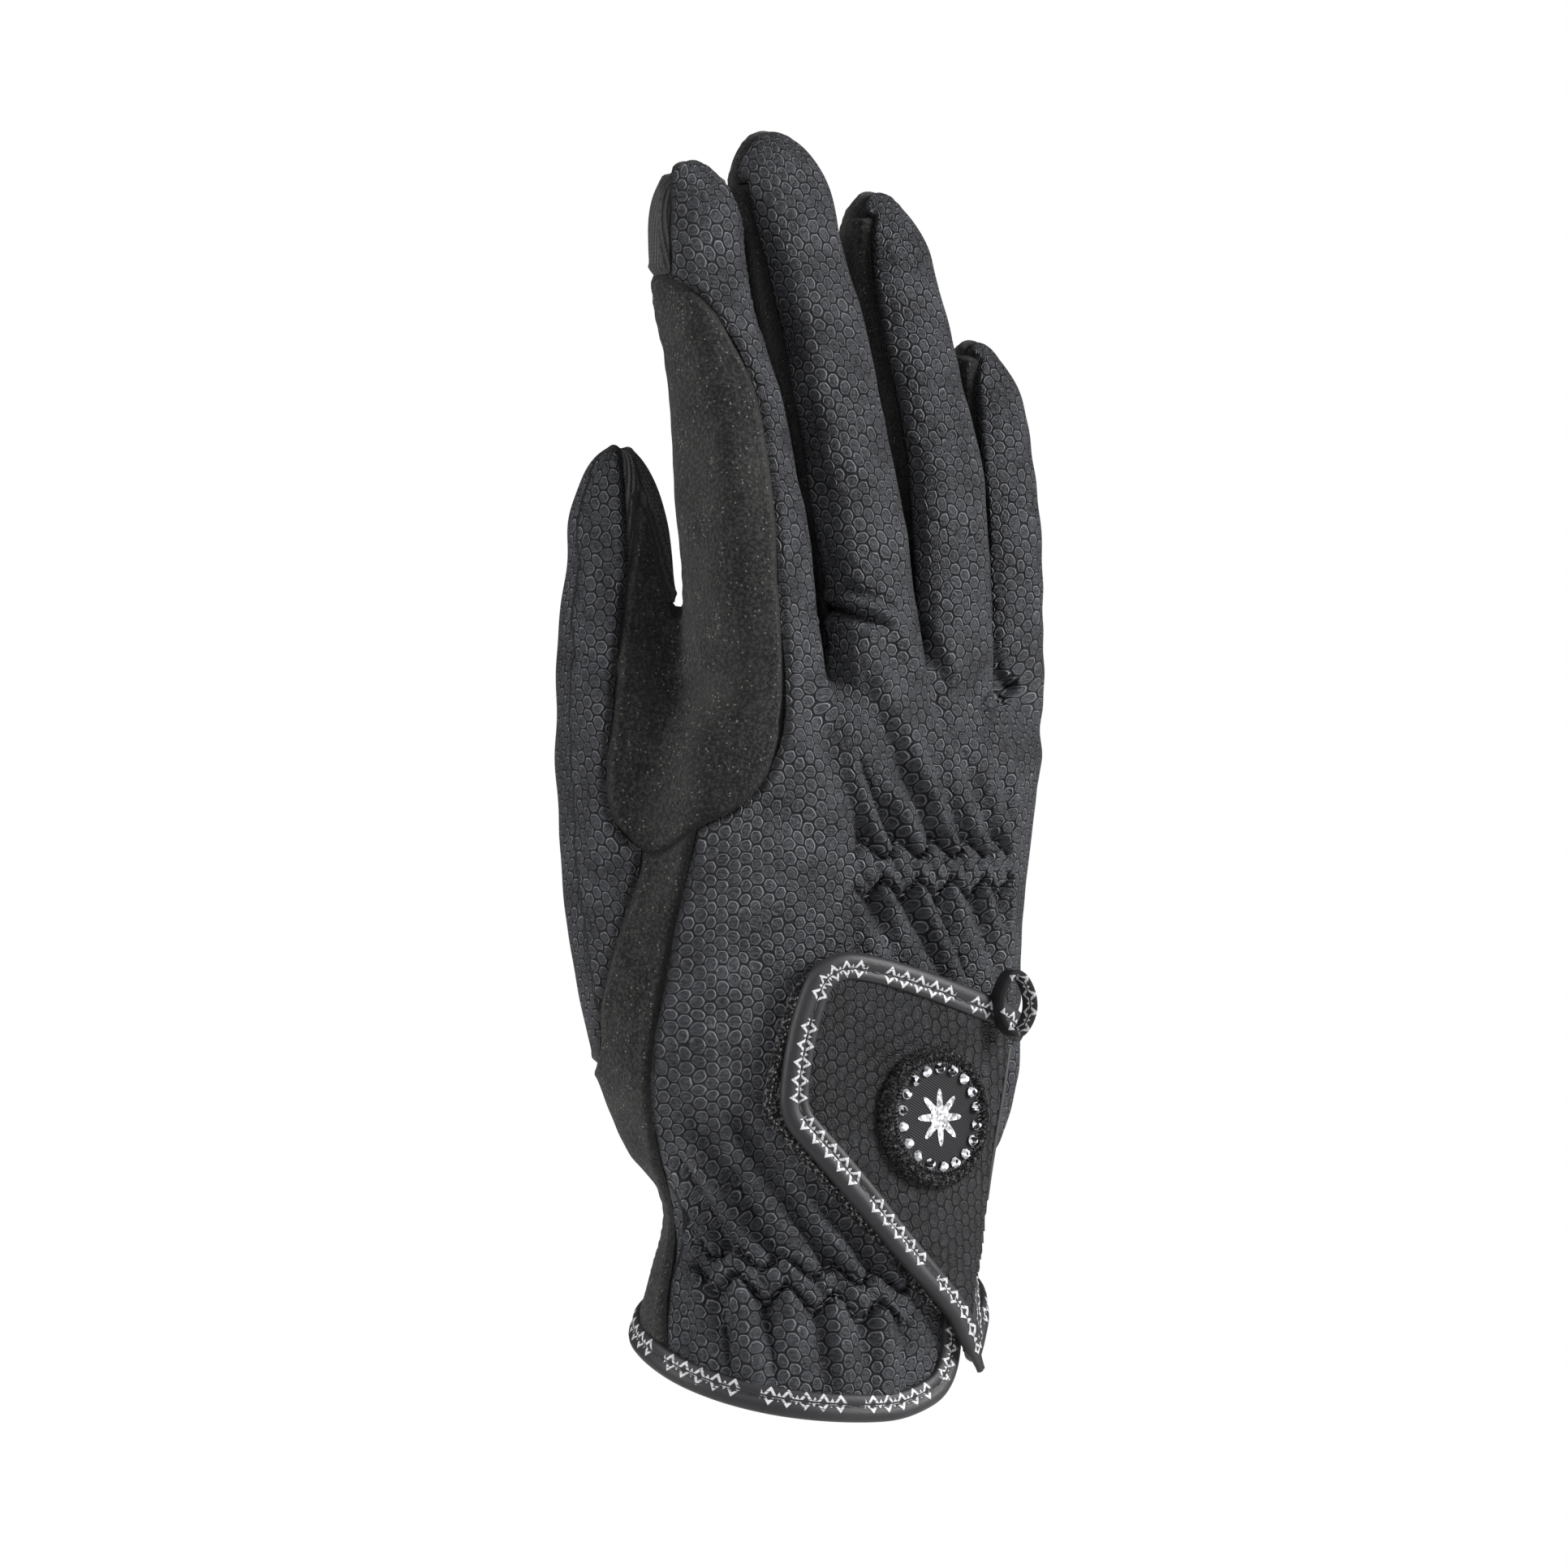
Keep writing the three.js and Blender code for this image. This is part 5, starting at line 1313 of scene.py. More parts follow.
def tape_finish(name, middle):
    """Tape with its print centred a way across it, in metres."""
    material, tree, places = new_finish(name, specular=0.25)
    along, over, _ = places.parts()
    spot = (along / lozenge_pitch).maths("FRACT") - 0.5
    x = abs(spot) * (lozenge_pitch / lozenge_wide)
    y = abs(over - middle) / lozenge_tall
    outline = abs(x + y - 0.8).rise(0.27, 0.19)
    small_x = (abs(spot) * -1.0 + 0.5) * (lozenge_pitch / (0.55 * mm))
    small = (small_x + y * 1.9).rise(1.1, 0.9)
    shown = (along / lozenge_group).maths("FRACT").rise(0.82, 0.81)
    fibre = use_group(tree, grain, places, 0.3 * mm, 4.0)
    wear_and_highlight = fibre["Height"].rise(0.36, 0.46)
    cut_by_stitch = abs(over - middle).rise(0.14 * mm, 0.24 * mm)
    printed = outline.maths("MAXIMUM", small) * shown * wear_and_highlight * cut_by_stitch
    cloth = fibre["Tone"].blend(tape_charcoal, (0.02, 0.02, 0.022, 1))
    set_finish(
        material,
        printed.blend(cloth, tape_silver),
        fibre["Height"] * 0.15 + 0.45 - printed * 0.15,
        fibre["Height"] + printed * 0.6,
        0.07 * mm,
    )
    return material


def sweep(path, ways, outs, profile, closed, form=None):
    """Points, faces and pattern places of a profile of (inward, out) places carried along a path."""
    inward = np.cross(outs, ways)
    inward /= np.linalg.norm(inward, axis=1)[:, None]
    count, sides = len(path), len(profile)
    b, n = np.array(profile).T
    seats = path[:, None] + inward[:, None] * b[None, :, None]
    normals = np.repeat(outs[:, None], sides, axis=1)
    if form:
        seats = settle(seats.reshape(-1, 3), form).reshape(count, sides, 3)
        normals = normals_of(seats.reshape(-1, 3), form)[0].reshape(count, sides, 3)
    points = (seats + normals * n[None, :, None]).reshape(-1, 3)
    i = np.arange(count if closed else count - 1)[:, None]
    j = np.arange(sides)[None, :]
    here, ahead = i * sides, ((i + 1) % count) * sides
    side = (j + 1) % sides
    quads = np.stack([here + j, here + side, ahead + side, ahead + j], axis=-1).reshape(-1, 4)
    faces = [quads]
    if not closed:
        ring = np.arange(sides)
        for base, order in ((0, -1), ((count - 1) * sides, 1)):
            loop = (base + ring)[::order]
            faces.append(np.stack([np.full(sides - 2, loop[0]), loop[1:-1], loop[2:]], axis=1))
    step = np.linalg.norm(np.diff(path, axis=0), axis=1)
    along = np.concatenate([[0], np.cumsum(step)])
    over = np.concatenate([[0], np.cumsum(np.hypot(np.diff(b), np.diff(n)))])
    places = np.stack(np.meshgrid(along, over, indexing="ij"), axis=-1).reshape(-1, 2)
    return points, faces, places


def outward(points, faces):
    """Turns a closed shell's faces so that they point out."""
    volume = 0
    for f in faces:
        a, b, c = points[f[:, 0]], points[f[:, 1]], points[f[:, 2]]
        volume += np.einsum("ij,ij->", a, np.cross(b, c))
        if f.shape[1] == 4:
            d = points[f[:, 3]]
            volume += np.einsum("ij,ij->", a, np.cross(c, d))
    return faces if volume > 0 else [f[:, ::-1] for f in faces]


opening = cut(glove, lambda f: np.minimum(f["hem_edge"], f["vent_edge"]))
above_edge = np.minimum(opening[2]["hem_edge"], opening[2]["vent_edge"])[opening[1]].mean(axis=1) > 0
edge_rim = rim_of(opening[1][above_edge])
onward = dict(edge_rim.tolist())
chain, at = [], int(edge_rim[0, 0])
while at in onward:
    chain.append(at)
    at = onward.pop(at)
edge_line = spaced(opening[0][chain], 0.9 * mm, closed=True)
for _ in range(26):
    edge_line = (np.roll(edge_line, 1, axis=0) + 2 * edge_line + np.roll(edge_line, -1, axis=0)) / 4
edge_line = settle(spaced(edge_line, 0.9 * mm, closed=True), glove_distance)
edge_ways = run_of(edge_line, closed=True)
edge_outs, _ = normals_of(edge_line, glove_distance)

tape_profile = [
    (4.4, -0.3), (4.42, 0.3), (4.2, 0.66), (3.7, 0.86), (3.1, 0.92), (2.65, 0.85), (2.4, 0.62),
    (2.15, 0.62), (1.9, 0.86), (1.3, 1.05), (0.6, 1.05), (0.0, 0.84), (-0.4, 0.4), (-0.52, -0.2),
    (-0.42, -0.85), (-0.05, -1.45), (0.6, -1.8), (2.0, -1.95), (3.6, -1.9), (4.2, -1.7), (4.4, -1.2),
]
tape_profile = [(b * mm, n * mm) for b, n in tape_profile]
printed_tape = tape_finish("printed_tape", 2.62 * mm)
points, faces, places = sweep(edge_line, edge_ways, edge_outs, tape_profile, True, glove_distance)
faces = outward(points, faces)
new_piece("opening_binding_tape", points, faces, places, printed_tape, ["opening_binding"])

tape_stitch = 2.6 * mm
tape_thread = (1.9 * mm, 0.36 * mm, 0.3 * mm)
stitch_line = edge_line + np.cross(edge_outs, edge_ways) * (2.28 * mm)
stitch_line = settle(spaced(stitch_line, tape_stitch, closed=True), glove_distance)
stitch_outs, _ = normals_of(stitch_line, glove_distance)
on_tape, stitch_ways = stitch_line + stitch_outs * (0.62 * mm), run_of(stitch_line, closed=True)
sew("opening_stitches", on_tape, stitch_ways, stitch_outs, *tape_thread)

# The closure tab: a flap of the same leather, sewn into the seam at the outer side of the wrist and
# closed over the slit. Its free edge is bound with the printed tape, folded over and sewn down,
# which runs on past the tab's foot into a short folded tail.
tab_edge = [
    (37.4, 56.9), (34.5, 59.5), (29.0, 62.1), (21.7, 65.1), (14.3, 67.6), (8.7, 68.9), (5.1, 69.1),
    (1.9, 67.9), (-0.6, 65.4), (-3.0, 59.0), (-4.6, 51.6), (-5.3, 45.7), (-5.2, 42.2), (-3.9, 38.9),
    (-0.6, 34.9), (8.7, 24.0), (17.3, 13.7), (23.6, 6.2), (26.0, 1.8), (27.3, -2.4), (28.4, -5.6),
]
tab_sewn_side = [(28.9, 1.0), (29.5, 8.7), (30.9, 15.9), (32.4, 31.4), (34.2, 42.3), (35.7, 52.2)]
tab_low = 1.8 * mm
tab_high = 3.1 * mm


def through(knots, spacing):
    """An open, smooth line through flat places."""
    knots = np.array(knots, float)
    ends = np.concatenate([[2 * knots[0] - knots[1]], knots, [2 * knots[-1] - knots[-2]]])
    line = []
    for i in range(1, len(ends) - 2):
        p0, p1, p2, p3 = ends[i - 1 : i + 3]
        for t in np.linspace(0, 1, 12, endpoint=False):
            swing = (2 * p0 - 5 * p1 + 4 * p2 - p3) * t * t + (3 * p1 - p0 - 3 * p2 + p3) * t ** 3
            line.append(p1 + 0.5 * ((p2 - p0) * t + swing))
    line.append(knots[-1])
    return spaced(line, spacing)


def on_back(flat, height=0.0):
    """Places of the camera's plane carried straight back onto the palm tube, grown by a height."""
    flat = np.asarray(flat, float)
    points = flat[:, :1] * photo_across + flat[:, 1:2] * np.array([0, 0, 1]) + 60 * mm * photo_toward
    for _ in range(90):
        points = points - photo_toward * (0.55 * (palm.distance(points) - height))[:, None]
    return points


def seat_under(flat, height):
    """Places on the palm tube that stand under places of the camera's plane at a height over it."""
    lifted = on_back(flat, height)
    outs, _ = normals_of(lifted, palm.distance)
    return settle(lifted - outs * height, palm.distance)


def lay_patch(outline, height, low_side=-0.25):
    """Points, triangles, outward ways and edge distances of the skin inside an outline."""
    near = (glove_normals @ photo_toward > low_side) & (np.abs(glove_points[:, 2] - 35 * mm) < 55 * mm)
    lifted = glove_points + glove_normals * height
    flat = on_photo(lifted)
    inside = np.full(len(glove_points), -20 * mm)
    inside[near] = inside_outline(outline, flat[near])
    points, tris, fields = cut((glove_points, glove[1], {"patch": inside}), lambda f: f["patch"])
    tris = tris[fields["patch"][tris].mean(axis=1) > 0]
    members, local = np.unique(tris, return_inverse=True)
    points = points[members]
    return points, local.reshape(-1, 3), normals_of(points, glove_distance)[0], fields["patch"][members]


tab_line = through(np.array(tab_edge) * mm, 0.8 * mm)
tab_outline = np.concatenate([tab_line, np.array(tab_sewn_side) * mm])
tab_inset = 0.48 * mm
tab_turn_down = 2.3 * mm
tab_thin = 0.8 * mm
points, tris, outs, inset = lay_patch(tab_outline, tab_high)
kept = inset[tris].min(axis=1) > tab_inset
members, local = np.unique(tris[kept], return_inverse=True)
points, outs, inset, tris = points[members], outs[members], inset[members], local.reshape(-1, 3)
flat = on_photo(points)
sewn_knots = np.array([(28.4, -5.6)] + tab_sewn_side + [(37.4, 56.9)]) * mm
off_sewn = np.min(np.linalg.norm(flat[:, None] - spaced(sewn_knots, 0.5 * mm)[None], axis=2), axis=1)
turned_down = 1 - ease(0.2 * mm, 1.9 * mm, off_sewn)
slack = lumps(points, (17 * mm, 9 * mm), (0.3 * mm, 0.12 * mm), 41)
high = tab_high + slack - turned_down * tab_turn_down
low = np.minimum(tab_low + slack, high - 0.5 * mm) - turned_down * tab_thin
shell, faces = walled(points + outs * high[:, None], points + outs * low[:, None], tris)
places = np.tile(hand_places(points), (2, 1))
new_piece("closure_tab_leather", shell, faces, places, scaled_leather, ["closure_tab"])

tab_tape_profile = [
    (4.5, 2.6), (4.52, 3.3), (4.3, 3.62), (3.75, 3.8), (3.15, 3.82), (2.85, 3.62), (2.62, 3.62),
    (2.35, 3.9), (1.8, 4.15), (1.1, 4.2), (0.4, 4.0), (-0.1, 3.55), (-0.3, 2.9), (-0.2, 2.2),
    (0.2, 1.7), (0.9, 1.45), (2.2, 1.4), (3.8, 1.5), (4.4, 1.9),
]
tab_tape_profile = [(b * mm, n * mm) for b, n in tab_tape_profile]
tab_seat = seat_under(tab_line, tab_high)
tab_ways = run_of(tab_seat)
tab_outs, _ = normals_of(tab_seat, palm.distance)
run_left = np.cumsum(np.linalg.norm(np.diff(tab_seat, axis=0), axis=1))
run_left = np.concatenate([[0], run_left])
run_left = run_left[-1] - run_left
points, faces, places = sweep(tab_seat, tab_ways, tab_outs, tab_tape_profile, False, palm.distance)
sides = len(tab_tape_profile)
rows = points.reshape(-1, sides, 3)
tail = (1 - ease(0, 9 * mm, run_left))[:, None]
spine = rows[:, 8:9]
rows = spine + (rows - spine) * (1 - 0.62 * tail[:, :, None])
new_piece(
    "tab_binding_tape", rows.reshape(-1, 3), outward(rows.reshape(-1, 3), faces), places,
    tape_finish("printed_tab_tape", 2.95 * mm), ["tab_binding"],
)
tab_inward = np.cross(tab_outs, tab_ways)
tab_sewing = settle(spaced(tab_seat + tab_inward * (2.72 * mm), tape_stitch), palm.distance)[1:-4]
tab_sewing_outs, _ = normals_of(tab_sewing, palm.distance)
on_tape = tab_sewing + tab_sewing_outs * (3.64 * mm)
sew("tab_stitches", on_tape, run_of(tab_sewing), tab_sewing_outs, *tape_thread)

# The cord in the tab's sewn seam: a thick black thread that lies in the groove beside the tab.
cord_radius = 0.6 * mm
cord_lift = 0.35 * mm
cord_under = 0.9 * mm
cord_knots = [(31.5, 24.5), (32.4, 31.4), (34.2, 42.3), (35.6, 51.5)]
cord_seat = seat_under(through(cord_knots, 0.8) * mm, cord_under)
cord_outs, _ = normals_of(cord_seat, palm.distance)
cord_turns = np.linspace(0, 2 * math.pi, 10, endpoint=False)
cord_profile = [(cord_radius * math.cos(t), cord_radius * math.sin(t) + cord_lift) for t in cord_turns]
points, faces, places = sweep(cord_seat, run_of(cord_seat), cord_outs, cord_profile, False)
new_piece("tab_seam_cord", points, outward(points, faces), places, thread, [])

# The loop pad under the tab: a black strip of hook-and-loop pile, sewn to the back of the wrist. Its
# edge shows past the tab's free side, with small bright stitches along it.
pad_edge = [
    (0.2, 66.2), (-2.9, 63.0), (-5.7, 55.2), (-7.3, 48.7), (-8.3, 43.6), (-7.8, 40.3), (-2.3, 33.9),
    (3.2, 27.5), (9.1, 20.9), (14.3, 15.6), (22.0, 5.2),
]
pad_hidden_side = [(25.5, 6.5), (22.0, 18.0), (18.0, 40.0), (13.0, 60.0), (6.0, 66.5)]
pad_low = 0.25 * mm
pad_high = 1.5 * mm
pile_black = (0.0022, 0.0022, 0.0025, 1)
pile_tip = (0.1, 0.1, 0.105, 1)

pile, tree, places = new_finish("loop_pile", specular=0.15, sheen=0.08, sheen_roughness=0.4)
fluff = use_group(tree, grain, object_places(tree), 0.55 * mm, 1.0)
set_finish(
    pile,
    fluff["Height"].rise(0.48, 0.68).blend(pile_black, pile_tip),
    fluff["Height"] * 0.1 + 0.85,
    fluff["Height"],
    0.35 * mm,
)
pad_line = through(np.array(pad_edge) * mm, 0.8 * mm)
pad_outline = np.concatenate([pad_line, np.array(pad_hidden_side) * mm])
points, tris, outs, inset = lay_patch(pad_outline, pad_high)
rounding = ease(0, 0.9 * mm, inset)
high = pad_low + (pad_high - pad_low) * (0.45 + 0.55 * rounding)
shell, faces = walled(points + outs * high[:, None], points + outs * pad_low, tris)
places = np.tile(hand_places(points), (2, 1))
new_piece("loop_pad_pile", shell, faces, places, pile, ["loop_pad"])

bright_thread, tree, places = new_finish("pad_thread", specular=0.5)
sheen_of_thread = use_group(tree, grain, object_places(tree), 0.3 * mm, 1.0)
set_finish(
    bright_thread,
    sheen_of_thread["Height"].blend((0.05, 0.05, 0.055, 1), (0.3, 0.3, 0.3, 1)),
    sheen_of_thread["Height"] * 0.2 + 0.4,
    sheen_of_thread["Height"],
    0.05 * mm,
)
pad_seat = seat_under(pad_line, pad_high)
pad_outs, _ = normals_of(pad_seat, palm.distance)
pad_inward = np.cross(pad_outs, run_of(pad_seat))
pad_sewing = settle(spaced(pad_seat + pad_inward * (0.9 * mm), 1.35 * mm), palm.distance)[2:-1]
pad_sewing_outs, _ = normals_of(pad_sewing, palm.distance)
on_pad = pad_sewing + pad_sewing_outs * (pad_high + 0.02 * mm)
pad_thread = (0.5 * mm, 0.26 * mm, 0.24 * mm, bright_thread)
sew("pad_stitches", on_pad, run_of(pad_sewing), pad_sewing_outs, *pad_thread)

# The pull: a drop-shaped loop of the same tape, its print turned inward, caught in the seam at the
# tab's sewn corner and standing out beside it.
pull_low, pull_high = (np.array(corner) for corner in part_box("pull_loop"))
pull_lift = 0.9 * mm
pull_sink = 2.2 * mm
pull_middle = (pull_low + pull_high) / 2 + np.array([0, 0, pull_lift]) - pull_sink * toward
pull_tall = pull_high[2] - pull_low[2]
pull_half = 3.0 * mm
pull_thick = 1.0 * mm
pull_wide = 3.4 * mm
pull_skew = 0.6
pull_shape = [
    (0.1, -0.5), (0.62, -0.36), (0.98, -0.08), (0.82, 0.22), (0.3, 0.45), (-0.12, 0.49), (-0.55, 0.34),
    (-0.95, 0.02), (-0.8, -0.25), (-0.35, -0.43),
]
drop = flowing([(x * pull_half, y * pull_tall) for x, y in pull_shape], 8)
drop = spaced(drop, 0.5 * mm, closed=True)
pull_path = pull_middle + drop[:, :1] * across + drop[:, 1:] * np.array([0, 0, 1])
pull_ways = run_of(pull_path, closed=True)
pull_outs = np.cross(pull_ways, np.repeat(toward[None], len(pull_path), axis=0))
half_wide, half_thick = pull_wide / 2, pull_thick / 2
round_off = half_wide - 0.15 * mm
flat_off = half_wide - 0.5 * mm
pull_profile = [
    (-half_wide, 0), (-round_off, half_thick * 0.8), (-flat_off, half_thick), (0, half_thick * 0.85),
    (flat_off, half_thick), (round_off, half_thick * 0.8), (half_wide, 0),
    (round_off, -half_thick * 0.8), (0, -half_thick), (-round_off, -half_thick * 0.8),
]
points, faces, places = sweep(pull_path, pull_ways, pull_outs, pull_profile, True)
points = points + ((points - pull_middle) @ toward * pull_skew)[:, None] * across
pull_print = tape_finish("printed_loop_tape", 5.2 * mm)
new_piece("pull_loop_tape", points, outward(points, faces), places, pull_print, ["pull_loop"])

# The badge: a round patch sewn to the tab. Its rim is a fuzzy rope of black pile with a ridge of
# overlock stitches inside it, round a disc of black twill that carries a rosette of silver film.
stone_names = [f"stone_{number:02d}" for number in range(1, 19)]
stone_boxes = np.array([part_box(name) for name in stone_names])
badge_middle = settle(stone_boxes.mean(axis=(0, 1))[None], palm.distance)[0]
badge_out = normals_of(badge_middle[None], palm.distance)[0][0]
badge_side = np.cross([0, 0, 1], badge_out)
badge_side /= np.linalg.norm(badge_side)
badge_top = np.cross(badge_out, badge_side)
badge_radius = 12.2 * mm
badge_rim_width = 2.3 * mm
badge_rim_tall = 1.75 * mm
badge_rim_middle = badge_radius - badge_rim_width / 2
badge_seat = 3.2 * mm
disc_height = 4.5 * mm


def badge_way(turn):
    """The way out from the badge's middle at some turns round it."""
    return np.cos(turn)[:, None] * badge_side + np.sin(turn)[:, None] * badge_top


def on_badge(reach, turn, height):
    """Points of the badge: a reach from its middle, a turn round it and a height over the leather."""
    points = badge_middle + reach[:, None] * badge_way(turn) + badge_out * height
    for _ in range(14):
        points = points - badge_out * (palm.distance(points) - height)[:, None]
    return points


def badge_ring(radius, profile, material, name, replaced, steps=160, wobble=0.0):
    """A closed ring of the badge, swept along a circle."""
    turns = np.linspace(0, 2 * math.pi, steps, endpoint=False)
    b, n = np.array(profile).T
    reach = radius + b[None, :] + 0 * turns[:, None]
    chance = np.random.default_rng(steps)
    reach = reach + wobble * chance.normal(size=reach.shape)
    turn = np.repeat(turns[:, None], len(profile), axis=1)
    flat = on_badge(reach.ravel(), turn.ravel(), badge_seat)
    outs, _ = normals_of(flat, palm.distance)
    lift = np.tile(n, steps) + wobble * chance.normal(size=len(flat))
    points = flat + outs * lift[:, None]
    sides = len(profile)
    i, j = np.arange(steps)[:, None], np.arange(sides)[None, :]
    ahead, side = (i + 1) % steps, (j + 1) % sides
    quads = np.stack([i * sides + j, i * sides + side, ahead * sides + side, ahead * sides + j], axis=-1)
    faces = outward(points, [quads.reshape(-1, 4)])
    places = np.stack([(turns[:, None] * radius + 0 * b).ravel(), np.tile(b, steps)], axis=1)
    return new_piece(name, points, faces, places, material, replaced)


def round_profile(half_wide, tall, sink, sides):
    turns = np.linspace(0, 2 * math.pi, sides, endpoint=False)
    return [(half_wide * math.cos(t), max(tall * math.sin(t), -sink)) for t in turns]


rim_profile = round_profile(badge_rim_width / 2, badge_rim_tall, 0.1 * mm, 16)
badge_ring(badge_rim_middle, rim_profile, pile, "badge_rim_pile", ["badge_rim"], 220, 0.05 * mm)
ridge_radius = badge_radius - badge_rim_width - 0.35 * mm
ridge_profile = round_profile(0.5 * mm, 1.45 * mm, 0.1 * mm, 12)
badge_ring(ridge_radius, ridge_profile, pile, "badge_ridge", [])

# Fibres of the rim: short bent hairs that stand out of the pile every way.
hair_count = 3400
hair_chance = np.random.default_rng(7)
hair_turn = hair_chance.uniform(0, 2 * math.pi, hair_count)
hair_round = hair_chance.uniform(-0.2, math.pi + 0.2, hair_count)
hair_reach = badge_rim_middle + badge_rim_width / 2 * np.cos(hair_round)
hair_roots = on_badge(hair_reach, hair_turn, badge_seat)
hair_outs, _ = normals_of(hair_roots, palm.distance)
hair_lift = badge_rim_tall * np.maximum(np.sin(hair_round), 0) + 0.05 * mm
hair_roots = hair_roots + hair_outs * hair_lift[:, None]
hair_ways = hair_outs * np.sin(hair_round)[:, None] + badge_way(hair_turn) * np.cos(hair_round)[:, None]
hair_ways = hair_ways + 0.75 * hair_chance.normal(size=hair_ways.shape)
hair_ways /= np.linalg.norm(hair_ways, axis=1)[:, None]
hair_sides = np.cross(hair_ways, hair_chance.normal(size=hair_ways.shape))
sew("badge_fibres", hair_roots, hair_ways, hair_sides, 1.2 * mm, 0.15 * mm, 0.15 * mm, pile)

# Overlock stitches over the ridge.
ridge_turns = np.linspace(0, 2 * math.pi, 92, endpoint=False)
ridge_points = on_badge(np.full(len(ridge_turns), ridge_radius), ridge_turns, badge_seat)
ridge_outs, _ = normals_of(ridge_points, palm.distance)
ridge_slant = badge_way(ridge_turns) + 0.35 * np.cross(ridge_outs, badge_way(ridge_turns))
on_ridge = ridge_points + ridge_outs * (1.25 * mm)
sew("badge_stitches", on_ridge, ridge_slant, ridge_outs, 1.35 * mm, 0.34 * mm, 0.5 * mm)

satin_dark = (0.0035, 0.0035, 0.004, 1)
satin_light = (0.026, 0.026, 0.028, 1)
satin_line = 0.42 * mm
satin, tree, places = new_finish("black_twill", specular=0.12)
twill_x, twill_y, _ = places.parts()
twill_way = (twill_x * 0.5 + twill_y * 0.87) * (2 * math.pi / satin_line)
twill = twill_way.maths("SINE") * 0.5 + 0.5
sheen_tone = use_group(tree, grain, places, 0.2 * mm, 1.0)
set_finish(
    satin,
    (twill * (sheen_tone["Height"] * 0.6 + 0.5)).blend(satin_dark, satin_light),
    sheen_tone["Height"] * 0.2 + 0.5,
    twill,
    0.12 * mm,
)


def badge_plate(name, reach_at, rings, steps, low, high, material, slot_name, replaced):
    """A closed flat plate of the badge whose edge is a reach for each turn."""
    turns = np.linspace(0, 2 * math.pi, steps, endpoint=False)
    shares = np.linspace(1 / rings, 1, rings)
    reach = (shares[:, None] * reach_at(turns)[None, :]).ravel()
    turn = np.tile(turns, rings)
    reach, turn = np.concatenate([[0], reach]), np.concatenate([[0], turn])
    flat = on_badge(reach, turn, 0.5 * (low + high))
    outs, _ = normals_of(flat, palm.distance)
    half = 0.5 * (high - low)
    tris, quads = [], []
    for i in range(steps):
        j = (i + 1) % steps
        tris.append((0, 1 + i, 1 + j))
        for k in range(rings - 1):
            a, b = 1 + k * steps, 1 + (k + 1) * steps
            quads += [(a + i, b + i, b + j), (a + i, b + j, a + j)]
    tris = np.array(tris + quads)
    shell, faces = walled(flat + outs * half, flat - outs * half, tris)
    places = np.stack([reach * np.cos(turn), reach * np.sin(turn)], axis=1)
    faces = outward(shell, faces)
    return new_piece(name, shell, faces, np.tile(places, (2, 1)), material, replaced)


def disc_edge(turns):
    return np.full(len(turns), badge_radius - badge_rim_width - 0.3 * mm)


disc_finish = (satin, "satin", ["badge_disc"])
badge_plate("badge_disc_twill", disc_edge, 14, 96, 3.5 * mm, disc_height, *disc_finish)

# The rosette: eight petals of silver film, pressed on the disc. Its grain glints piece by piece: each
# grain's colour is painted darker or brighter, a painted glint, and its gloss and bump vary with it.
film, tree, places = new_finish("silver_film", specular=0.6)
film_grain = 0.42 * mm
grains = places.vector("SCALE", None, None, 1 / film_grain)
glints = add_node(tree, "ShaderNodeTexVoronoi", grains, None, 1.0, voronoi_dimensions="2D", output=1)
glint = glints.parts()
# Painted glint: each grain's colour is painted darker or brighter.
set_finish(
    film,
    glint[0].blend((0.1, 0.1, 0.105, 1), (0.5, 0.5, 0.51, 1)),
    glint[1] * 0.3 + 0.25,
    glint[2],
    0.05 * mm,
)
film.node_tree.nodes["Principled BSDF"].inputs["Metallic"].default_value = 0.55


def rosette_edge(turns):
    petals = 0.5 + 0.5 * np.cos(8 * turns)
    return 2.2 * mm + 2.9 * mm * petals ** 1.6


film_low, film_high = disc_height - 0.1 * mm, disc_height + 0.14 * mm
badge_plate("badge_rosette", rosette_edge, 6, 192, film_low, film_high, film, "satin", [])

# The stones: eighteen foil-backed crystals in a ring on the disc. Their cut solids are kept, and get
# a polished finish with bright and dark patches painted into its colour: painted reflections.
crystal = bpy.data.materials.new("foiled_crystal")
crystal.use_nodes = True
tree = crystal.node_tree
facet = 0.9 * mm
facets = add_node(tree, "ShaderNodeTexVoronoi", object_places(tree), None, 1 / facet, output=1)
facet_glint_and_gloss = facets.parts()
# Painted reflections: bright and dark patches painted into the stones' colour.
tone = facet_glint_and_gloss[0].rise(0.25, 0.5).blend((0.02, 0.02, 0.024, 1), (0.85, 0.86, 0.9, 1))
shader = tree.nodes["Principled BSDF"]
tree.links.new(tone.socket, shader.inputs["Base Color"])
tree.links.new((facet_glint_and_gloss[1] * 0.08 + 0.04).socket, shader.inputs["Roughness"])
shader.inputs["Metallic"].default_value = 0.5
for name in stone_names:
    for place in bpy.data.objects[name].material_slots:
        place.material = crystal

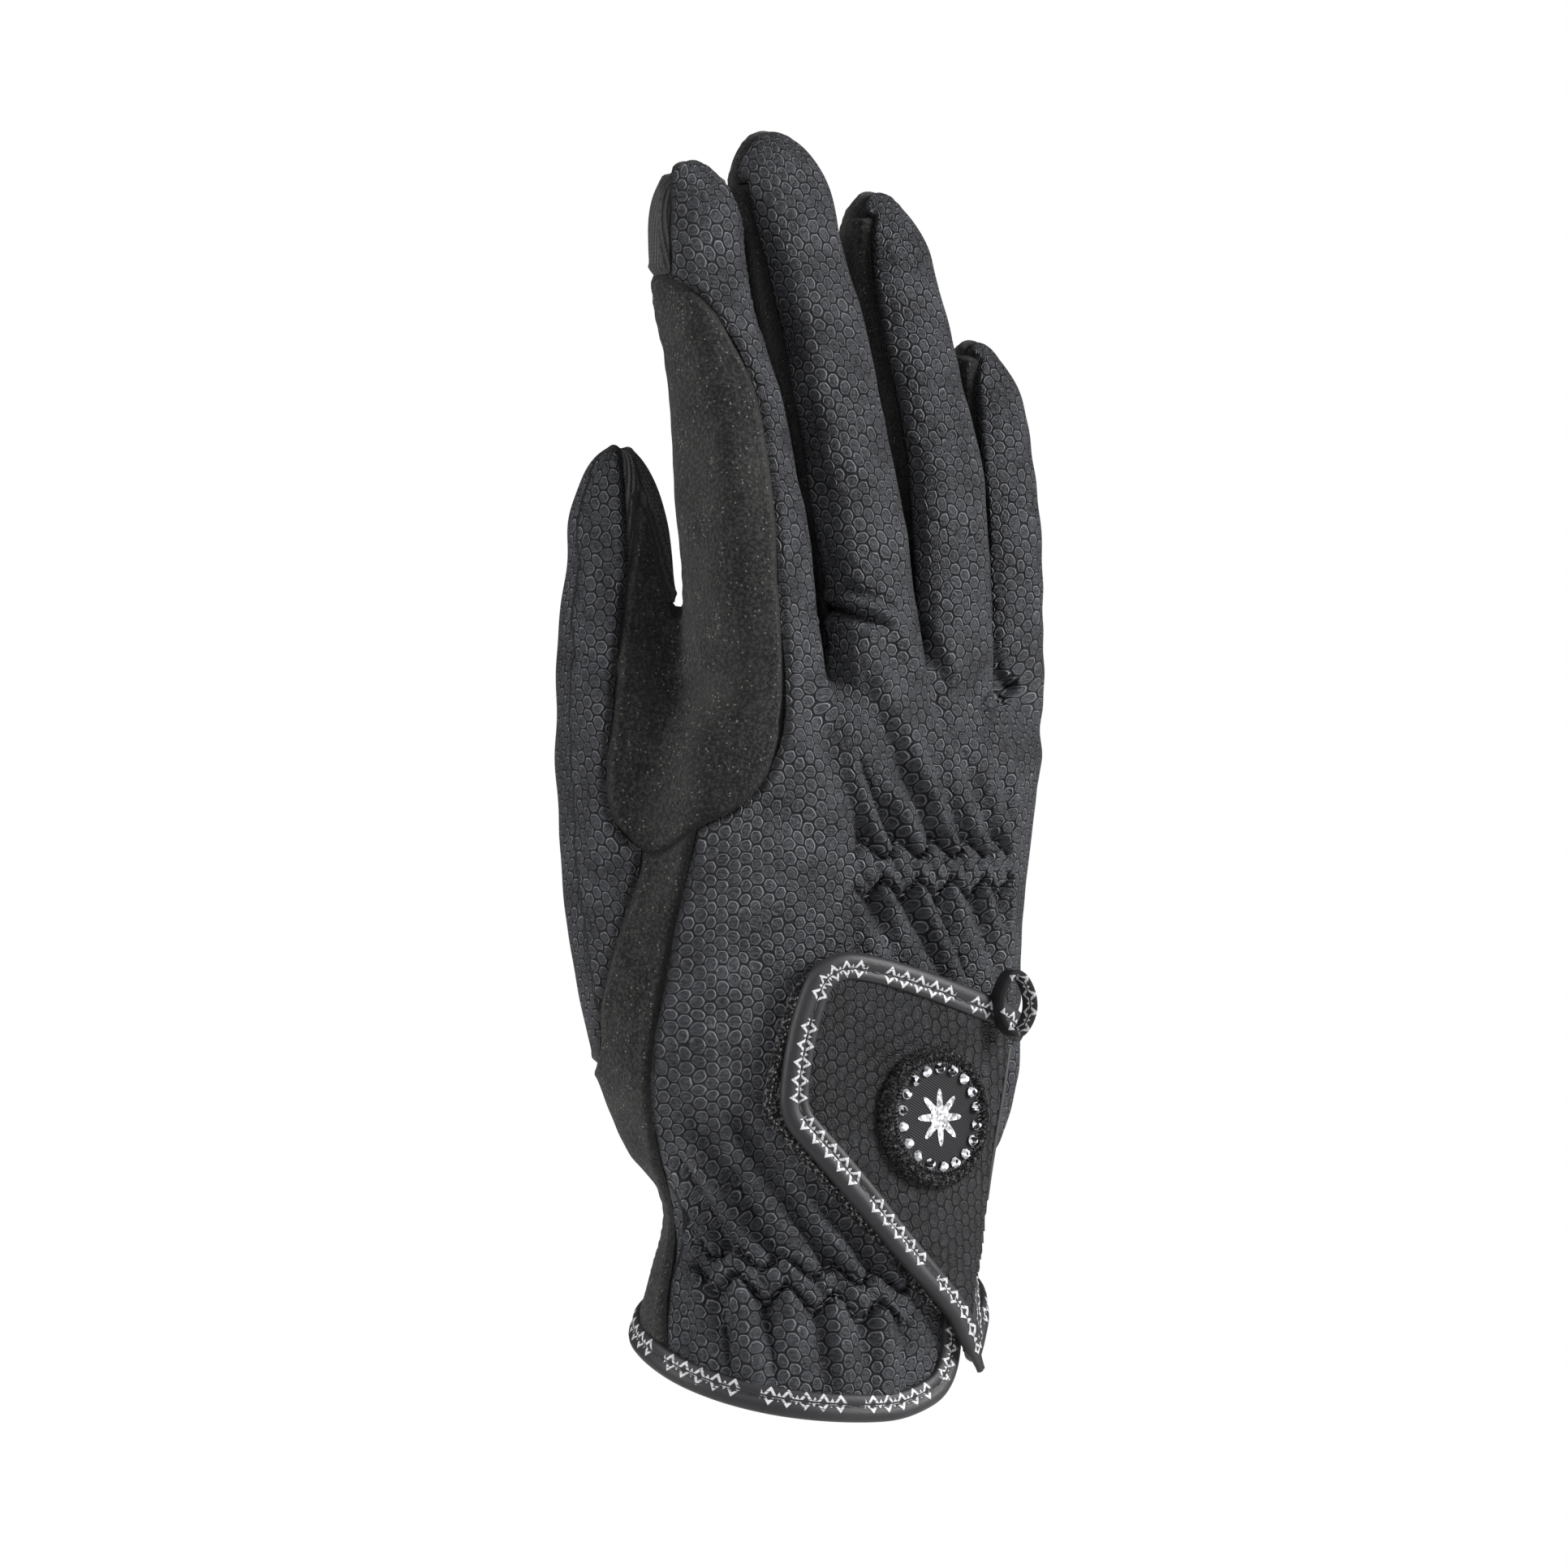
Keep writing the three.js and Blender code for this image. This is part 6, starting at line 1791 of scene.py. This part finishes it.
# Studio: a pale floor well below the glove, a white backdrop, soft light from the right and front,
# and a camera at the photograph's angle. None of it is part of the glove.
photo_middle = -4.9 * mm * photo_across + np.array([0, 0, 98.8 * mm])
camera_distance = 1.2
frame_height = 279.2 * mm
camera_data = bpy.data.cameras.new("camera")
camera_data.sensor_width = 36
camera_data.lens = camera_data.sensor_width * camera_distance / frame_height
camera = new_object("camera", camera_data)
camera.location = photo_middle + photo_toward * camera_distance
camera.rotation_euler = Vector(-photo_toward).to_track_quat("-Z", "Y").to_euler()
bpy.context.scene.camera = camera
bpy.context.scene.view_settings.view_transform = "Standard"


def soft_box(name, side, front, up, width, height, power):
    """A soft light, placed across, towards the camera and up from the glove."""
    lamp = bpy.data.lights.new(name, "AREA")
    lamp.shape = "RECTANGLE"
    lamp.size, lamp.size_y = width, height
    lamp.energy = power
    light = new_object(name, lamp)
    place = side * photo_across + front * photo_toward + np.array([0, 0, up])
    light.location = place
    aim = Vector((0, 0, 0.1)) - Vector(place)
    light.rotation_euler = aim.to_track_quat("-Z", "Y").to_euler()


soft_box("right_light", 1.15, 0.22, 0.6, 0.36, 0.6, 42)
soft_box("front_light", -0.3, 1.1, 1.0, 0.3, 0.3, 9)
soft_box("left_light", -1.05, 0.4, 0.5, 0.4, 0.7, 17)

floor_reach = 0.54
floor_drop = -0.12
floor_mesh = bpy.data.meshes.new("floor")
floor_edge = []
for turn in np.radians(np.arange(0, 360, 5)):
    floor_edge.append((floor_reach * math.cos(turn), floor_reach * math.sin(turn), floor_drop))
floor_mesh.from_pydata(floor_edge, [], [tuple(range(len(floor_edge)))])
floor_finish = bpy.data.materials.new("pale_floor")
floor_finish.use_nodes = True
shader = floor_finish.node_tree.nodes["Principled BSDF"]
shader.inputs["Base Color"].default_value = (0.85, 0.85, 0.85, 1)
shader.inputs["Roughness"].default_value = 0.8
floor_mesh.materials.append(floor_finish)
floor = new_object("floor", floor_mesh)

studio_light = 0.12
world = bpy.data.worlds.new("studio")
world.use_nodes = True
tree = world.node_tree
backdrop = tree.nodes["Background"]
backdrop.inputs["Color"].default_value = (1, 1, 1, 1)
seen = add_node(tree, "ShaderNodeLightPath")
strength = seen * (1 - studio_light) + studio_light
tree.links.new(strength.socket, backdrop.inputs["Strength"])
bpy.context.scene.world = world
